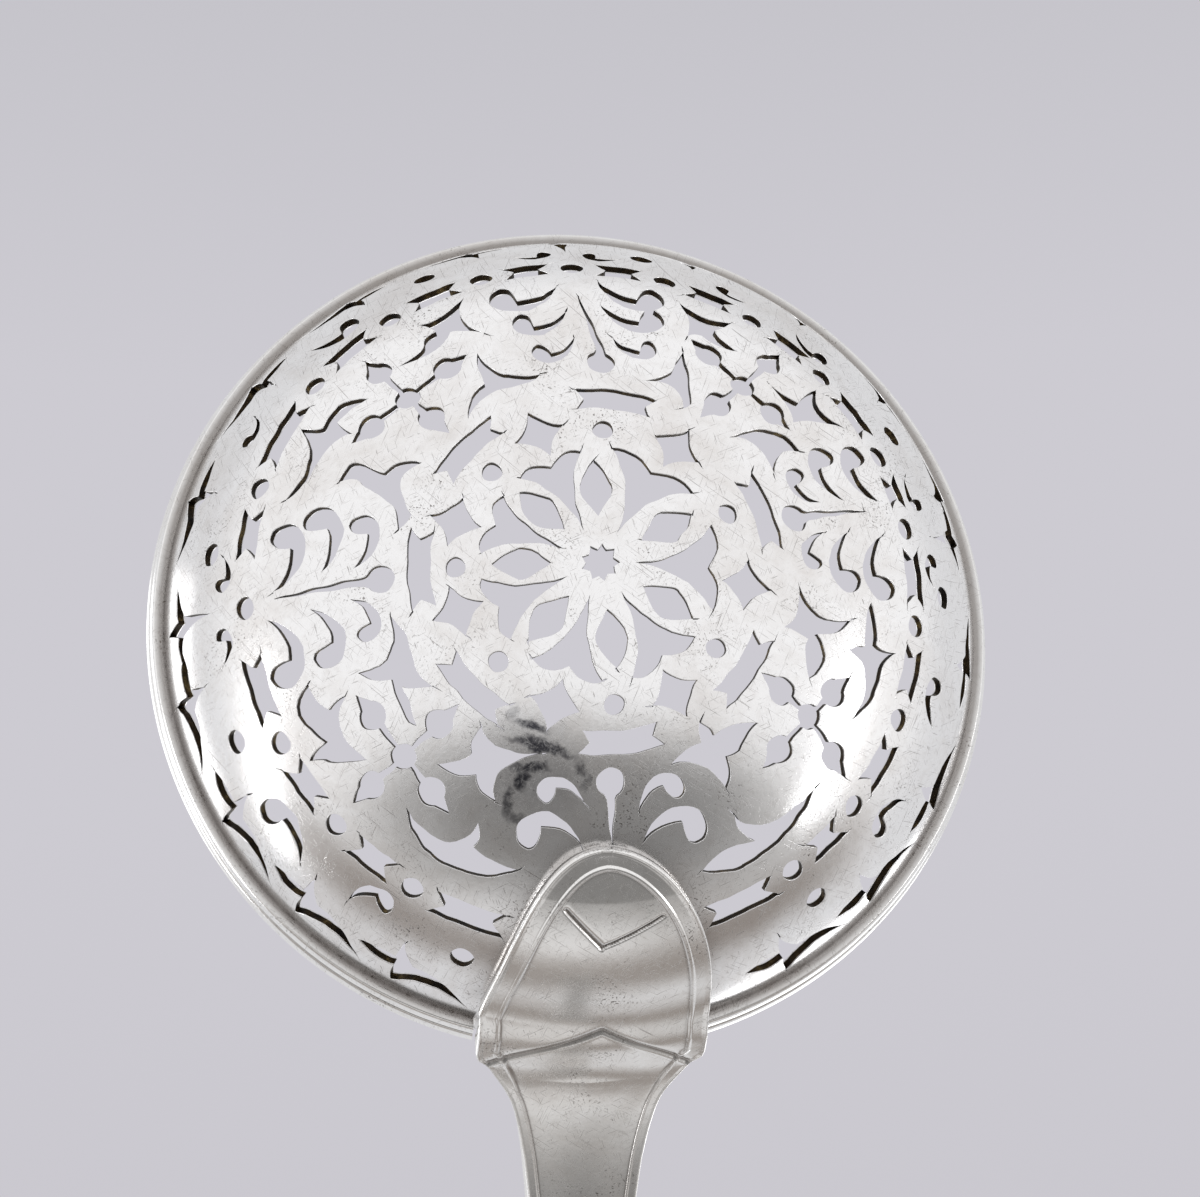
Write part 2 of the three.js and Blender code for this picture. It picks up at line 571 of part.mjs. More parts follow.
// Works over the inner edges that two triangles share, each triangle at most once in a pass,
// until a pass changes nothing. change(a, b, c, d) returns the new triangles, or nothing.
function rework(triangles, change) {
  let busy = true;
  for (let pass = 0; busy && pass < MOST_PASSES; pass += 1) {
    busy = false;
    const edges = edgesOf(triangles);
    const used = new Set();
    for (const [key, [i, c]] of edges) {
      const [a, b] = key.split(' ').map(Number);
      const other = a < b ? edges.get(`${b} ${a}`) : undefined;
      if (!other || used.has(i) || used.has(other[0])) continue;
      const [j, d] = other;
      const made = change(a, b, c, d);
      if (!made) continue;
      [triangles[i], triangles[j]] = made;
      triangles.push(...made.slice(2));
      used.add(i).add(j);
      busy = true;
    }
  }
}

// Turns shared edges until the triangles are as stout as their corners allow, and halves the
// edges that are still too long to follow the bowl's curve.
function evenOut(corners, triangles) {
  const turnEdge = (a, b, c, d) => {
    const facing = cornerAngle(corners, a, c, b) + cornerAngle(corners, b, d, a);
    return facing > Math.PI + 1e-4 ? [[a, d, c], [d, b, c]] : null;
  };
  const halveEdge = (a, b, c, d) => {
    if (corners[a].distanceTo(corners[b]) < LONGEST_EDGE) return null;
    const m = corners.push(corners[a].clone().lerp(corners[b], 0.5)) - 1;
    return [[a, m, c], [b, m, d], [m, b, c], [m, a, d]];
  };
  rework(triangles, turnEdge);
  rework(triangles, halveEdge);
  rework(triangles, turnEdge);
}

// The bowl: the pierced sheet raised into shape, with a wall of even thickness that is square
// to the skin along every hole.
function bowlGeometry() {
  const { corners, triangles } = piercedSheet();
  evenOut(corners, triangles);
  const raise = (lift) => corners.map((corner) => {
    const arc = (corner.length() * lipArc) / SHEET_RADIUS;
    return onBack(arc, degrees(corner.angle()), lift);
  });
  const points = [...raise(0), ...raise(-BOWL_WALL)];
  const inside = corners.length;
  const index = [];
  const edges = edgesOf(triangles);
  for (const [a, b, c] of triangles) {
    index.push(a, b, c, inside + c, inside + b, inside + a);
  }
  for (const key of edges.keys()) {
    const [a, b] = key.split(' ').map(Number);
    if (!edges.has(`${b} ${a}`)) index.push(b, a, inside + a, b, inside + a, inside + b);
  }
  const geometry = new THREE.BufferGeometry().setFromPoints(points);
  geometry.setIndex(index);
  return geometryOf(solidOf(geometry));
}

// The wire's face, from its inner edge to the lip: reeds side by side on a flat strip.
const stepsPerReed = 4;
const wireFace = Array.from({ length: REED_COUNT * stepsPerReed + 1 }, (_, i) => {
  const bulge = Math.abs(Math.sin((Math.PI * i) / stepsPerReed));
  return onWire(i / (REED_COUNT * stepsPerReed), SOLDER_SEAT + WIRE_THICKNESS + REED_RELIEF * bulge);
});

function onWire(share, lift) {
  const { radius, height, slope } = skinAt(lipArc - WIRE_BAND * (1 - share));
  return new THREE.Vector2(radius + lift * Math.sin(slope), height - lift * Math.cos(slope));
}

// The wire: its face and seat turned round the lip, and stopped on both sides of the tongue.
function rimWireGeometry() {
  const seat = [onWire(1, SOLDER_SEAT), onWire(0.5, SOLDER_SEAT), onWire(0, SOLDER_SEAT)];
  const ring = new THREE.LatheGeometry([...wireFace, ...seat, wireFace[0]], LIP_STEPS).rotateX(Math.PI / 2);
  const gapWidth = 2 * (TONGUE_HALF_WIDTH + WIRE_END_CLEARANCE);
  const gap = new THREE.BoxGeometry(gapWidth, bowlRadius, 2 * bowlRadius).translate(0, -bowlRadius, 0);
  return geometryOf(solidOf(ring).subtract(solidOf(gap)));
}

const tongueTipArc = lipArc - TONGUE_LENGTH;
const wireReach = Math.max(...wireFace.map((point) => point.x));
const tipHalfThickness = FIDDLE_THICKNESS * (0.5 + CROWN);
const stemLength = OVERALL_LENGTH - 2 * wireReach - tipHalfThickness * Math.sin(radians(TIP_SLOPE));

// One cross-section of the handle: a row across its inner or upper face and one across its
// back, both with a double thread along the edges. place(x, share) puts a point at x across
// and at a share of the thickness from the upper face to the back.
function handleSection(halfWidth, thickness, place, threadedTop) {
  const edge = Math.min(THREAD_WIDTH, halfWidth * 0.2);
  const across = [
    [-halfWidth, 0.28], [-halfWidth + edge, 0], [-halfWidth + 2 * edge, 1], [-halfWidth + 3 * edge, 0],
    [-halfWidth * 0.3, -CROWN * 0.8], [0, -CROWN], [halfWidth * 0.3, -CROWN * 0.8],
    [halfWidth - 3 * edge, 0], [halfWidth - 2 * edge, 1], [halfWidth - edge, 0], [halfWidth, 0.28],
  ];
  const dip = (depth) => (depth === 1 ? THREAD_RELIEF / thickness : depth);
  const back = across.map(([x, depth]) => place(x, 1 - dip(depth)));
  const top = across.map(([x, depth]) => place(x, threadedTop ? dip(depth) : 0));
  return [...top, ...back.reverse()];
}

// The tongue's half-width at an arc: round at the tip, then nearly straight to the lip.
function tongueHalfWidth(arc) {
  const share = (arc - tongueTipArc) / (lipArc - tongueTipArc);
  const rounded = Math.sqrt(1 - (1 - Math.min(share / 0.8, 1)) ** 2);
  return Math.max(TONGUE_HALF_WIDTH * rounded, 0.4);
}

// Stations from the tongue's tip to the start of the neck, lying on the bowl's back.
function tongueSections(lastArc) {
  const count = 12;
  return Array.from({ length: count }, (_, i) => {
    const arc = tongueTipArc + (lastArc - tongueTipArc) * (i / (count - 1)) ** 1.6;
    const halfWidth = tongueHalfWidth(arc);
    const thickness = TONGUE_THICKNESS * (0.6 + 0.4 * Math.min(1, halfWidth / (0.6 * TONGUE_HALF_WIDTH)));
    const girth = skinAt(arc).radius;
    const lean = (TONGUE_LEAN * (lastArc - arc)) / (lastArc - tongueTipArc);
    const place = (x, share) => {
      const bearing = HANDLE_BEARING - degrees((x - lean) / girth);
      return onBack(arc, bearing, SOLDER_SEAT + thickness * share);
    };
    return handleSection(halfWidth, thickness, place, false);
  });
}

// Stations that fan round the fillet under the neck, from the bowl's wall to the stem.
function neckSections(wallY, startZ) {
  const count = 9;
  const last = Math.PI / 2 - radians(NECK_RISE);
  const lipTurn = Math.atan2(lip.height - startZ, TONGUE_THICKNESS + NECK_FILLET);
  const centreY = wallY - TONGUE_THICKNESS - NECK_FILLET;
  const endRun = -wireReach - centreY - (NECK_FILLET + NECK_THICKNESS / 2) * Math.cos(last);
  return Array.from({ length: count }, (_, i) => {
    const turn = (last * (i + 1)) / count;
    const toWall = (TONGUE_THICKNESS + NECK_FILLET) / Math.cos(turn) - NECK_FILLET;
    const thickness = Math.min(toWall, NECK_THICKNESS);
    const toLip = THREE.MathUtils.smoothstep(turn, 0.5 * lipTurn, lipTurn);
    const pastLip = THREE.MathUtils.clamp((turn - lipTurn) / (last - lipTurn), 0, 1);
    const shoulder = lerp(TONGUE_HALF_WIDTH, SHOULDER_HALF_WIDTH, toLip);
    const halfWidth = lerp(shoulder, stemHalfWidth(endRun), pastLip);
    const place = (x, share) => {
      const reach = NECK_FILLET + thickness * (1 - share);
      const wrap = bowlWrap(x) * Math.max(0, 1 - turn / lipTurn);
      return new THREE.Vector3(x, centreY + reach * Math.cos(turn) + wrap, startZ + reach * Math.sin(turn));
    };
    return handleSection(halfWidth, thickness, place, turn > lipTurn);
  });
}

// How far the bowl's back falls away from the tongue's middle at x across.
const bowlWrap = (x) => bowlRadius - Math.sqrt(bowlRadius ** 2 - x ** 2);

// The stem's and the fiddle end's half-width at a distance from the lip.
function stemHalfWidth(run) {
  const fiddleStart = stemLength - FIDDLE_LENGTH;
  const flare = SHOULDER_FLARE * Math.exp(-run / FLARE_LENGTH);
  if (run <= fiddleStart) return STEM_HALF_WIDTH + flare + 0.6 * Math.max(0, run / fiddleStart - 0.4);
  const share = (run - fiddleStart) / FIDDLE_LENGTH;
  const shoulder = Math.min(1, (share * FIDDLE_LENGTH) / 3.5);
  const widening = Math.min(1, share / 0.76);
  const body = lerp(FIDDLE_SHOULDER_HALF_WIDTH, FIDDLE_END_HALF_WIDTH, widening ** 1.3);
  const neck = STEM_HALF_WIDTH + 0.36;
  const side = neck + (body - neck) * Math.sin((shoulder * Math.PI) / 2);
  const pastRound = Math.max(0, share - ROUND_START) / (1 - ROUND_START);
  const rounded = Math.sqrt(Math.max(0, 1 - pastRound ** 2));
  return Math.max(side * rounded, 0.5);
}

function stemThickness(run) {
  const share = run / stemLength;
  const slim = lerp(STEM_THICKNESS, FIDDLE_THICKNESS, Math.max(0, (share - 0.3) / 0.7));
  return slim + (NECK_THICKNESS - STEM_THICKNESS) * Math.exp(-run / 12);
}

// Stations along the arched stem to the tip, which touches the table.
function stemSections(start, startRun) {
  const tip = new THREE.Vector3(0, -wireReach - stemLength, tipHalfThickness * Math.cos(radians(TIP_SLOPE)));
  const along = (lead, slope) => new THREE.Vector3(0, lead * Math.cos(slope), lead * Math.sin(slope));
  const arch = new THREE.CubicBezierCurve3(
    start,
    start.clone().sub(along(ARCH_LEAD, -radians(NECK_RISE))),
    tip.clone().add(along(TIP_LEAD, radians(TIP_SLOPE))),
    tip,
  );
  const fiddleStart = (stemLength - FIDDLE_LENGTH) / stemLength;
  const roundStart = lerp(fiddleStart, 1, ROUND_START);
  const shares = [
    ...Array.from({ length: 16 }, (_, i) => ((i + 1) / 16) ** 1.5 * (fiddleStart - 0.005)),
    ...Array.from({ length: 5 }, (_, i) => fiddleStart + (i * 0.024) / 4),
    ...Array.from({ length: 8 }, (_, i) => lerp(fiddleStart + 0.024, roundStart, (i + 1) / 8)),
    ...Array.from({ length: 8 }, (_, i) => lerp(roundStart, 1, Math.sin((Math.PI * (i + 1)) / 16))),
  ];
  return shares.map((share) => {
    const run = startRun + (stemLength - startRun) * share;
    const middle = arch.getPoint(shareOfArch(arch, -wireReach - run));
    const tangent = arch.getTangent(shareOfArch(arch, -wireReach - run));
    const normal = new THREE.Vector3(0, tangent.z, -tangent.y).normalize();
    const thickness = stemThickness(run);
    const place = (x, depth) => {
      const lift = thickness * (0.5 - depth);
      return new THREE.Vector3(x, middle.y, middle.z).addScaledVector(normal, lift);
    };
    return handleSection(stemHalfWidth(run), thickness, place, true);
  });
}

// The place on the arch where it passes a given y.
function shareOfArch(arch, y) {
  let [low, high] = [0, 1];
  for (let i = 0; i < 30; i += 1) {
    const middle = (low + high) / 2;
    if (arch.getPoint(middle).y > y) low = middle;
    else high = middle;
  }
  return (low + high) / 2;
}

// The handle: every station joined to the next, and both ends closed.
function handleGeometry() {
  const lastArc = lipArc - NECK_THICKNESS - 2.2;
  const foot = onBack(lastArc, HANDLE_BEARING, SOLDER_SEAT);
  const neck = neckSections(-bowlRadius - SOLDER_SEAT, foot.z);
  const lastNeck = neck[neck.length - 1];
  const side = lastNeck.length / 4 - 0.5;
  const start = lastNeck[side].clone().add(lastNeck[lastNeck.length - 1 - side]).multiplyScalar(0.5);
  const sections = [...tongueSections(lastArc), ...neck, ...stemSections(start, -wireReach - start.y)];
  const around = sections[0].length;
  const index = [];
  for (let i = 0; i + 1 < sections.length; i += 1) {
    for (let j = 0; j < around; j += 1) {
      const k = (j + 1) % around;
      const [a, b, c, d] = [i * around + j, i * around + k, (i + 1) * around + k, (i + 1) * around + j];
      index.push(a, b, c, a, c, d);
    }
  }
  const lastRing = (sections.length - 1) * around;
  for (let j = 0; j + 1 < around / 2; j += 1) {
    const [a, b, c, d] = [j, j + 1, around - 2 - j, around - 1 - j];
    index.push(b, a, d, b, d, c);
    index.push(lastRing + a, lastRing + b, lastRing + c, lastRing + a, lastRing + c, lastRing + d);
  }
  const geometry = new THREE.BufferGeometry().setFromPoints(sections.flat());
  geometry.setIndex(index);
  return geometryOf(solidOf(geometry));
}

const silver = (color, roughness) => new THREE.MeshStandardMaterial({ color, roughness, metalness: 1 });

function piece(name, geometry, material) {
  const mesh = new THREE.Mesh(geometry, material);
  mesh.name = name;
  return mesh;
}

const spoon = new THREE.Group();
spoon.add(
  piece('bowl', bowlGeometry(), silver(0xd8d6d3, 0.28)),
  piece('rim_wire', rimWireGeometry(), silver(0xdddbd8, 0.22)),
  piece('handle', handleGeometry(), silver(0xd5d2cf, 0.24)),
);
spoon.position.y = OVERALL_LENGTH / 2 - wireReach;

const model = new THREE.Group();
model.add(spoon);
export default model;
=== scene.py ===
import bmesh
import bpy
import numpy as np
from mathutils import Matrix, Vector
from mathutils.geometry import delaunay_2d_cdt
from mathutils.kdtree import KDTree


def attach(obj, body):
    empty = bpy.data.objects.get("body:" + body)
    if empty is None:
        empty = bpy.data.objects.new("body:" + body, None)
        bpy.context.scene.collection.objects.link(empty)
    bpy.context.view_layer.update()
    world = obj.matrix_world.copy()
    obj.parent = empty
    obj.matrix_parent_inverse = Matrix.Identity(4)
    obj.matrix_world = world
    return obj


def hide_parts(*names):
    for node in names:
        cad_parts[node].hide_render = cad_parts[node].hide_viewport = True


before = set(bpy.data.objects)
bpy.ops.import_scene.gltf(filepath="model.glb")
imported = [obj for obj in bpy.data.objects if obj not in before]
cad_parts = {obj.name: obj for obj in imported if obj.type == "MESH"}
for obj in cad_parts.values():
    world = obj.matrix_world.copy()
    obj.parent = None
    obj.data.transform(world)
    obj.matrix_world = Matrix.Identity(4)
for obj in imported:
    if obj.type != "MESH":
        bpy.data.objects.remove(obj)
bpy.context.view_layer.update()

# The view: a long lens looks up at the bowl's back from below the level of the table, with the
# handle towards it.
scene = bpy.context.scene
scene.view_settings.view_transform = "Standard"
CAMERA_PLACE = (0.026933, 0.009266, -0.211253)
CAMERA_RIGHT = (-0.992615, -0.034825, -0.116200)
CAMERA_UP = (-0.002401, 0.963358, -0.268208)
CAMERA_BACK = (0.121283, -0.265949, -0.956327)
camera = bpy.data.objects.new("camera", bpy.data.cameras.new("camera"))
camera.data.lens = 87
camera.data.sensor_width = 36
camera.data.clip_start = 0.01
camera_turn = Matrix((CAMERA_RIGHT, CAMERA_UP, CAMERA_BACK)).transposed().to_4x4()
camera.matrix_world = Matrix.Translation(CAMERA_PLACE) @ camera_turn
scene.collection.objects.link(camera)
scene.camera = camera

# The room: pale paper wherever the view meets it, and in the silver a bright room under a greyer
# ceiling, with a dark patch and a dim warm band on the handle's side.
PAPER = (0.610, 0.597, 0.644, 1)
PAPER_LOW = (0.592, 0.579, 0.624, 1)
PAPER_HIGH = (0.556, 0.548, 0.588, 1)
CEILING = (0.72, 0.72, 0.73, 1)
DIM_BAND = (0.20, 0.165, 0.14, 1)
PATCH_MIDDLE = (-0.04, -0.57)
PATCH_REACH = (0.80, 0.36)


def node(tree, kind, **values):
    """A new node; values are its settings, or its inputs by name or number."""
    made = tree.nodes.new(kind)
    for key, value in values.items():
        if hasattr(made, key):
            setattr(made, key, value)
            continue
        socket = made.inputs[int(key[1:])] if key[1:].isdigit() else made.inputs[key.replace("_", " ")]
        if isinstance(value, bpy.types.NodeSocket):
            tree.links.new(value, socket)
        else:
            socket.default_value = value
    return made


def ramp(tree, value, stops):
    """A colour ramp through (place, grey or colour) stops."""
    made = tree.nodes.new("ShaderNodeValToRGB")
    tree.links.new(value, made.inputs[0])
    while len(made.color_ramp.elements) < len(stops):
        made.color_ramp.elements.new(0.5)
    for element, (place, colour) in zip(made.color_ramp.elements, stops):
        element.position = place
        element.color = colour if isinstance(colour, tuple) else (colour, colour, colour, 1)
    return made.outputs[0]


def reckoned(tree, operation, first, second):
    """Two numbers put together by a Math node."""
    return node(tree, "ShaderNodeMath", operation=operation, i0=first, i1=second).outputs[0]


def fade(tree, value, start, end, low=0.0, high=1.0, curve="SMOOTHSTEP"):
    """A number that passes from low to high while the value passes from start to end."""
    return node(
        tree, "ShaderNodeMapRange", interpolation_type=curve, Value=value,
        From_Min=start, From_Max=end, To_Min=low, To_Max=high,
    ).outputs[0]


def blended(tree, share, first, second):
    """The first colour, or the second where the share is 1."""
    return node(tree, "ShaderNodeMix", data_type="RGBA", i0=share, i6=first, i7=second).outputs[2]


world = bpy.data.worlds.new("room")
scene.world = world
world.use_nodes = True
sky = world.node_tree
sky.nodes.clear()
way = node(sky, "ShaderNodeTexCoord").outputs["Generated"]
_, north, up = node(sky, "ShaderNodeSeparateXYZ", Vector=way).outputs
from_patch = node(
    sky, "ShaderNodeVectorMath", operation="MULTIPLY_ADD", i0=way,
    i1=(1 / PATCH_REACH[0], 1 / PATCH_REACH[1], 0),
    i2=(-PATCH_MIDDLE[0] / PATCH_REACH[0], -PATCH_MIDDLE[1] / PATCH_REACH[1], 0),
)
distance = node(sky, "ShaderNodeVectorMath", operation="LENGTH", i0=from_patch.outputs[0]).outputs["Value"]
below = ramp(
    sky, fade(sky, distance, 0.45, 1.25),
    [(0, (0.22, 0.215, 0.21, 1)), (0.5, (0.48, 0.47, 0.46, 1)), (1, (0.93, 0.925, 0.925, 1))],
)
level = ramp(
    sky, fade(sky, up, -1.0, 1.0, curve="LINEAR"), [(0.36, 0.0), (0.44, 0.85), (0.52, 0.85), (0.62, 0.0)]
)
dim = reckoned(sky, "MULTIPLY", level, fade(sky, north, -0.15, -0.75))
lit = blended(sky, fade(sky, up, -0.1, 0.35), below, CEILING)
mirrored = blended(sky, dim, lit, DIM_BAND)
backdrop = ramp(sky, north, [(0.05, PAPER_LOW), (0.2, PAPER), (0.34, PAPER), (0.47, PAPER_HIGH)])
in_view = node(sky, "ShaderNodeLightPath").outputs["Is Camera Ray"]
background = node(sky, "ShaderNodeBackground", Color=blended(sky, in_view, mirrored, backdrop), Strength=1.0)
sky.links.new(background.outputs[0], node(sky, "ShaderNodeOutputWorld").inputs[0])

# The lamps: two soft panels above the table, and two long windows that light the silver alone, for
# the narrow highlights down both sides of the bowl.


def panel(name, place, aim, along, width, length, watts):
    """A soft panel of light at a place, facing what it is aimed at, its length laid along a line."""
    made = bpy.data.objects.new(name, bpy.data.lights.new(name, "AREA"))
    made.data.shape = "RECTANGLE"
    made.data.size, made.data.size_y, made.data.energy = width, length, watts
    behind = (Vector(place) - Vector(aim)).normalized()
    across = Vector(along).cross(behind).normalized()
    turn = Matrix((across, behind.cross(across), behind)).transposed().to_4x4()
    made.matrix_world = Matrix.Translation(place) @ turn
    made.visible_camera = False
    scene.collection.objects.link(made)
    return made


panel("key_panel", (-0.35, -0.25, 0.62), (0, 0, 0), (0, 1, 0), 0.45, 0.45, 1.05)
panel("fill_panel", (0.5, 0.1, 0.45), (0, 0, 0), (0, 1, 0), 0.4, 0.4, 0.5)
silver_only = bpy.data.collections.new("silver_only")
for window in (
    panel("left_window", (0.595, -0.10, -0.015), (0, 0.07, 0.01), (-0.12, -0.70, 0.71), 0.045, 0.50, 0.40),
    panel("right_window", (-0.54, -0.08, -0.25), (0, 0.07, 0.01), (-0.24, 0.96, -0.12), 0.05, 0.37, 0.29),
):
    window.light_linking.receiver_collection = silver_only

# The table: a wide sheet of pale paper that the spoon lies on. It shows only from above, and
# reflections pass through it, so that the bowl's back meets the room.
TABLE_REACH = 6.0
TABLE_LEVEL = -0.0001


def bare_material(name):
    """A new material without nodes, and the tree that they go into."""
    made = bpy.data.materials.new(name)
    made.use_nodes = True
    made.node_tree.nodes.clear()
    return made, made.node_tree


table_top = bpy.data.meshes.new("table_top")
table_top.from_pydata(
    [(x * TABLE_REACH, y * TABLE_REACH, TABLE_LEVEL) for x, y in ((-1, -1), (1, -1), (1, 1), (-1, 1))],
    [], [(0, 1, 2, 3)],
)
table = bpy.data.objects.new("table_top", table_top)
scene.collection.objects.link(table)
paper, leaf = bare_material("paper")
rays = node(leaf, "ShaderNodeLightPath").outputs
beneath = node(leaf, "ShaderNodeNewGeometry").outputs["Backfacing"]
unseen = reckoned(leaf, "MAXIMUM", beneath, rays["Is Shadow Ray"])
unseen = reckoned(leaf, "MAXIMUM", unseen, rays["Is Glossy Ray"])
grain = node(leaf, "ShaderNodeTexNoise", Scale=900.0, Detail=4.0)
tone = ramp(leaf, grain.outputs["Fac"], [(0.3, (0.70, 0.69, 0.72, 1)), (0.7, (0.74, 0.73, 0.76, 1))])
surface = node(
    leaf, "ShaderNodeMixShader", i0=unseen,
    i1=node(leaf, "ShaderNodeBsdfDiffuse", Color=tone).outputs[0],
    i2=node(leaf, "ShaderNodeBsdfTransparent").outputs[0],
)
leaf.links.new(surface.outputs[0], node(leaf, "ShaderNodeOutputMaterial").inputs[0])
table_top.materials.append(paper)

# The bowl: one round sheet of silver, raised over a stake into a deep bowl and planished, then
# pierced all over with a saw along a drawn pattern. Its back is worn flat in the middle.
MM = 0.001
BOWL_RADIUS = 34.0
BOWL_AXIS_Y = 70.924
LIP_SLOPE = np.radians(83.8)
CROWN_EASE = 0.484
WORN_FLAT = 4.2
WORN_EDGE = 1.6
MIDDLE_WALL = 0.55
RIM_WALL = 0.77
THICKER_FROM = 18.0
SHEET_RADIUS = 43.36
SHEET_TURN = 1.2
HANDLE_BEARING = 270

# The bowl's profile from its pole to its lip, for a sheet one unit long: how far each point lies
# out from the axis and up from the pole, and how steep the sheet is there.
STEPS = 4000
shares = np.linspace(0, 1, STEPS + 1)
slopes = LIP_SLOPE * ((1 - CROWN_EASE) * shares + CROWN_EASE * shares**3)
middles = (slopes[1:] + slopes[:-1]) / 2
runs = np.concatenate([[0], np.cumsum(np.cos(middles))]) / STEPS
rises = np.concatenate([[0], np.cumsum(np.sin(middles))]) / STEPS
LIP_ARC = BOWL_RADIUS / runs[-1]
flat_rise = np.interp(WORN_FLAT / LIP_ARC, shares, rises) * LIP_ARC


def skin(arc):
    """The bowl's outer skin at a distance from the pole along it: radius, height and slope."""
    share = np.asarray(arc, dtype=float) / LIP_ARC
    worn = np.clip((share * LIP_ARC - WORN_FLAT + WORN_EDGE / 2) / WORN_EDGE, 0, 1)
    past_lip = np.maximum(share - 1, 0) * LIP_ARC
    return (
        np.interp(share, shares, runs) * LIP_ARC + past_lip * np.cos(LIP_SLOPE),
        np.maximum(np.interp(share, shares, rises) * LIP_ARC - flat_rise, 0) + past_lip * np.sin(LIP_SLOPE),
        np.interp(share, shares, slopes) * worn * worn * (3 - 2 * worn),
    )


def on_back(arc, bearing, lift):
    """Points above (or, with a negative lift, inside) the outer skin, by arc and bearing."""
    radius, height, slope = skin(arc)
    out = radius + lift * np.sin(slope)
    angle = np.radians(bearing)
    return np.stack([-out * np.cos(angle), out * np.sin(angle), height - lift * np.cos(slope)], -1)


def cut(start, *strokes, steps=7):
    """A saw line: [x, y] for a straight stroke, or [cx, cy, x, y] for a curved one."""
    points = [start]
    for stroke in strokes:
        if len(stroke) == 2:
            points.append(stroke)
            continue
        (x0, y0), (cx, cy, x, y) = points[-1], stroke
        for t in np.arange(1, steps + 1) / steps:
            first, middle, last = (1 - t) ** 2, 2 * t * (1 - t), t * t
            points.append((first * x0 + middle * cx + last * x, first * y0 + middle * cy + last * y))
    return np.array(points[:-1])


def girth_at(ring):
    """The bowl's radius where a ring of the flat drawing comes to lie."""
    return float(skin(ring * LIP_ARC / SHEET_RADIUS)[0])


def on_sheet(reach, bearing):
    """A point of the flat sheet, by its distance from the middle and its bearing."""
    turn = np.radians(bearing + SHEET_TURN)
    return np.stack([reach * np.cos(turn), reach * np.sin(turn)], -1)


def laid(points, ring, bearing):
    """An outline laid flat on its bearing, y outwards from the pole."""
    x, y = np.asarray(points, dtype=float).T
    return on_sheet(np.hypot(x, ring + y), bearing - np.degrees(np.arctan2(x, ring + y)))


def bent(points, ring, bearing):
    """An outline bent along its ring."""
    x, y = np.asarray(points, dtype=float).T
    return on_sheet(ring + y, bearing - np.degrees(x / girth_at(ring)))


def swayed(points, ring, bearing):
    """As bent, on one of the outer rings, which aren't quite round."""
    oval = 0.65 * np.cos(2 * np.radians(bearing - 5)) + 0.5 * np.cos(np.radians(bearing))
    return bent(points, ring - oval, bearing)


def round_hole(radius, sides=26):
    """A round hole about the drawing's own zero."""
    turn = 2 * np.pi * (np.arange(sides) + 0.5) / sides
    return np.stack([radius * np.sin(turn), radius * np.cos(turn)], -1)


def comma(tail, head):
    """A comma from the tip of its tail to the middle of its round head."""
    (tail_x, tail_y), (head_x, head_y) = tail, head
    length = np.hypot(head_x - tail_x, head_y - tail_y)
    turn = np.arctan2(head_y - tail_y, abs(head_x - tail_x))
    x, y = cut(
        [0, 0], [0.4, -0.3, 0.8, -0.19], [0.76, 0.22, 0.97, 0.26], [1.25, 0.22, 1.26, -0.1],
        [1.2, -0.44, 0.7, -0.51], [0.25, -0.42, 0, 0],
    ).T
    across = length * (x * np.cos(turn) - y * np.sin(turn))
    side = 1 if head_x > tail_x else -1
    return np.stack([tail_x + side * across, tail_y + length * (x * np.sin(turn) + y * np.cos(turn))], -1)


# The flower in the middle: a nine-pointed star, seven petals and the gaps between them.
star = on_sheet(np.tile([1.55, 1.1], 9), 20.0 * np.arange(18))
holes = [star]
PETAL_TIP = 8.4
petal_bearings = [90, 135.5, 179, 225.7, 275.5, 327, 387, 450]
petal = cut(
    [0, -4.7], [1.7, -2.6, 1.2, -1.9], [0.9, -0.9, 0, 0], [-0.9, -0.9, -1.2, -1.9], [-1.7, -2.6, 0, -4.7]
)
# A gap is drawn for petals that stand evenly, and made wider or narrower as they really stand.
EVEN_HALF_GAP = 25.7
for bearing, following in zip(petal_bearings, petal_bearings[1:]):
    wide = (following - bearing) / 2 / EVEN_HALF_GAP
    holes.append(laid(petal, PETAL_TIP, bearing))
    gap = cut(
        [0, -5.7], [0.45 * wide, -1.5, 2.98 * wide, 0.4], [1.7 * wide, 1.5, 0, 0.2],
        [-1.7 * wide, 1.5, -2.98 * wide, 0.4], [-0.45 * wide, -1.5, 0, -5.7],
    )
    holes.append(laid(gap, PETAL_TIP, (bearing + following) / 2))

# Dots and hollow-sided diamonds by turns, and the ring of swallow-tailed banners.
for bearing in [20.9, 85.4, 135.7, 179.5, 222.6, 273, 321.9]:
    holes.append(laid(round_hole(0.83), 11.1, bearing))
diamond = cut([0, 2.1], [0.7, 0.7, 2.1, 0], [0.7, -0.7, 0, -2.1], [-0.7, -0.7, -2.1, 0], [-0.7, 0.7, 0, 2.1])
for bearing in [54.8, 110.7, 160.7, 196.7, 250, 297.4, 351]:
    holes.append(laid(diamond, 11.6, bearing))
banner = [
    [-3.2, 0.95], [-2.1, 0.95], [-1, 0.95], [0, 0.95], [1, 0.95], [2.1, 0.95], [3.2, 0.95], [2.45, 0],
    [3.2, -0.95], [2.1, -0.95], [1, -0.95], [0, -0.95], [-1, -0.95], [-2.1, -0.95], [-3.2, -0.95], [-2.45, 0],
]
for bearing in [18, 81.3, 134.5, 179, 222.5, 274.4, 322.5]:
    holes.append(bent(banner, 14, bearing))

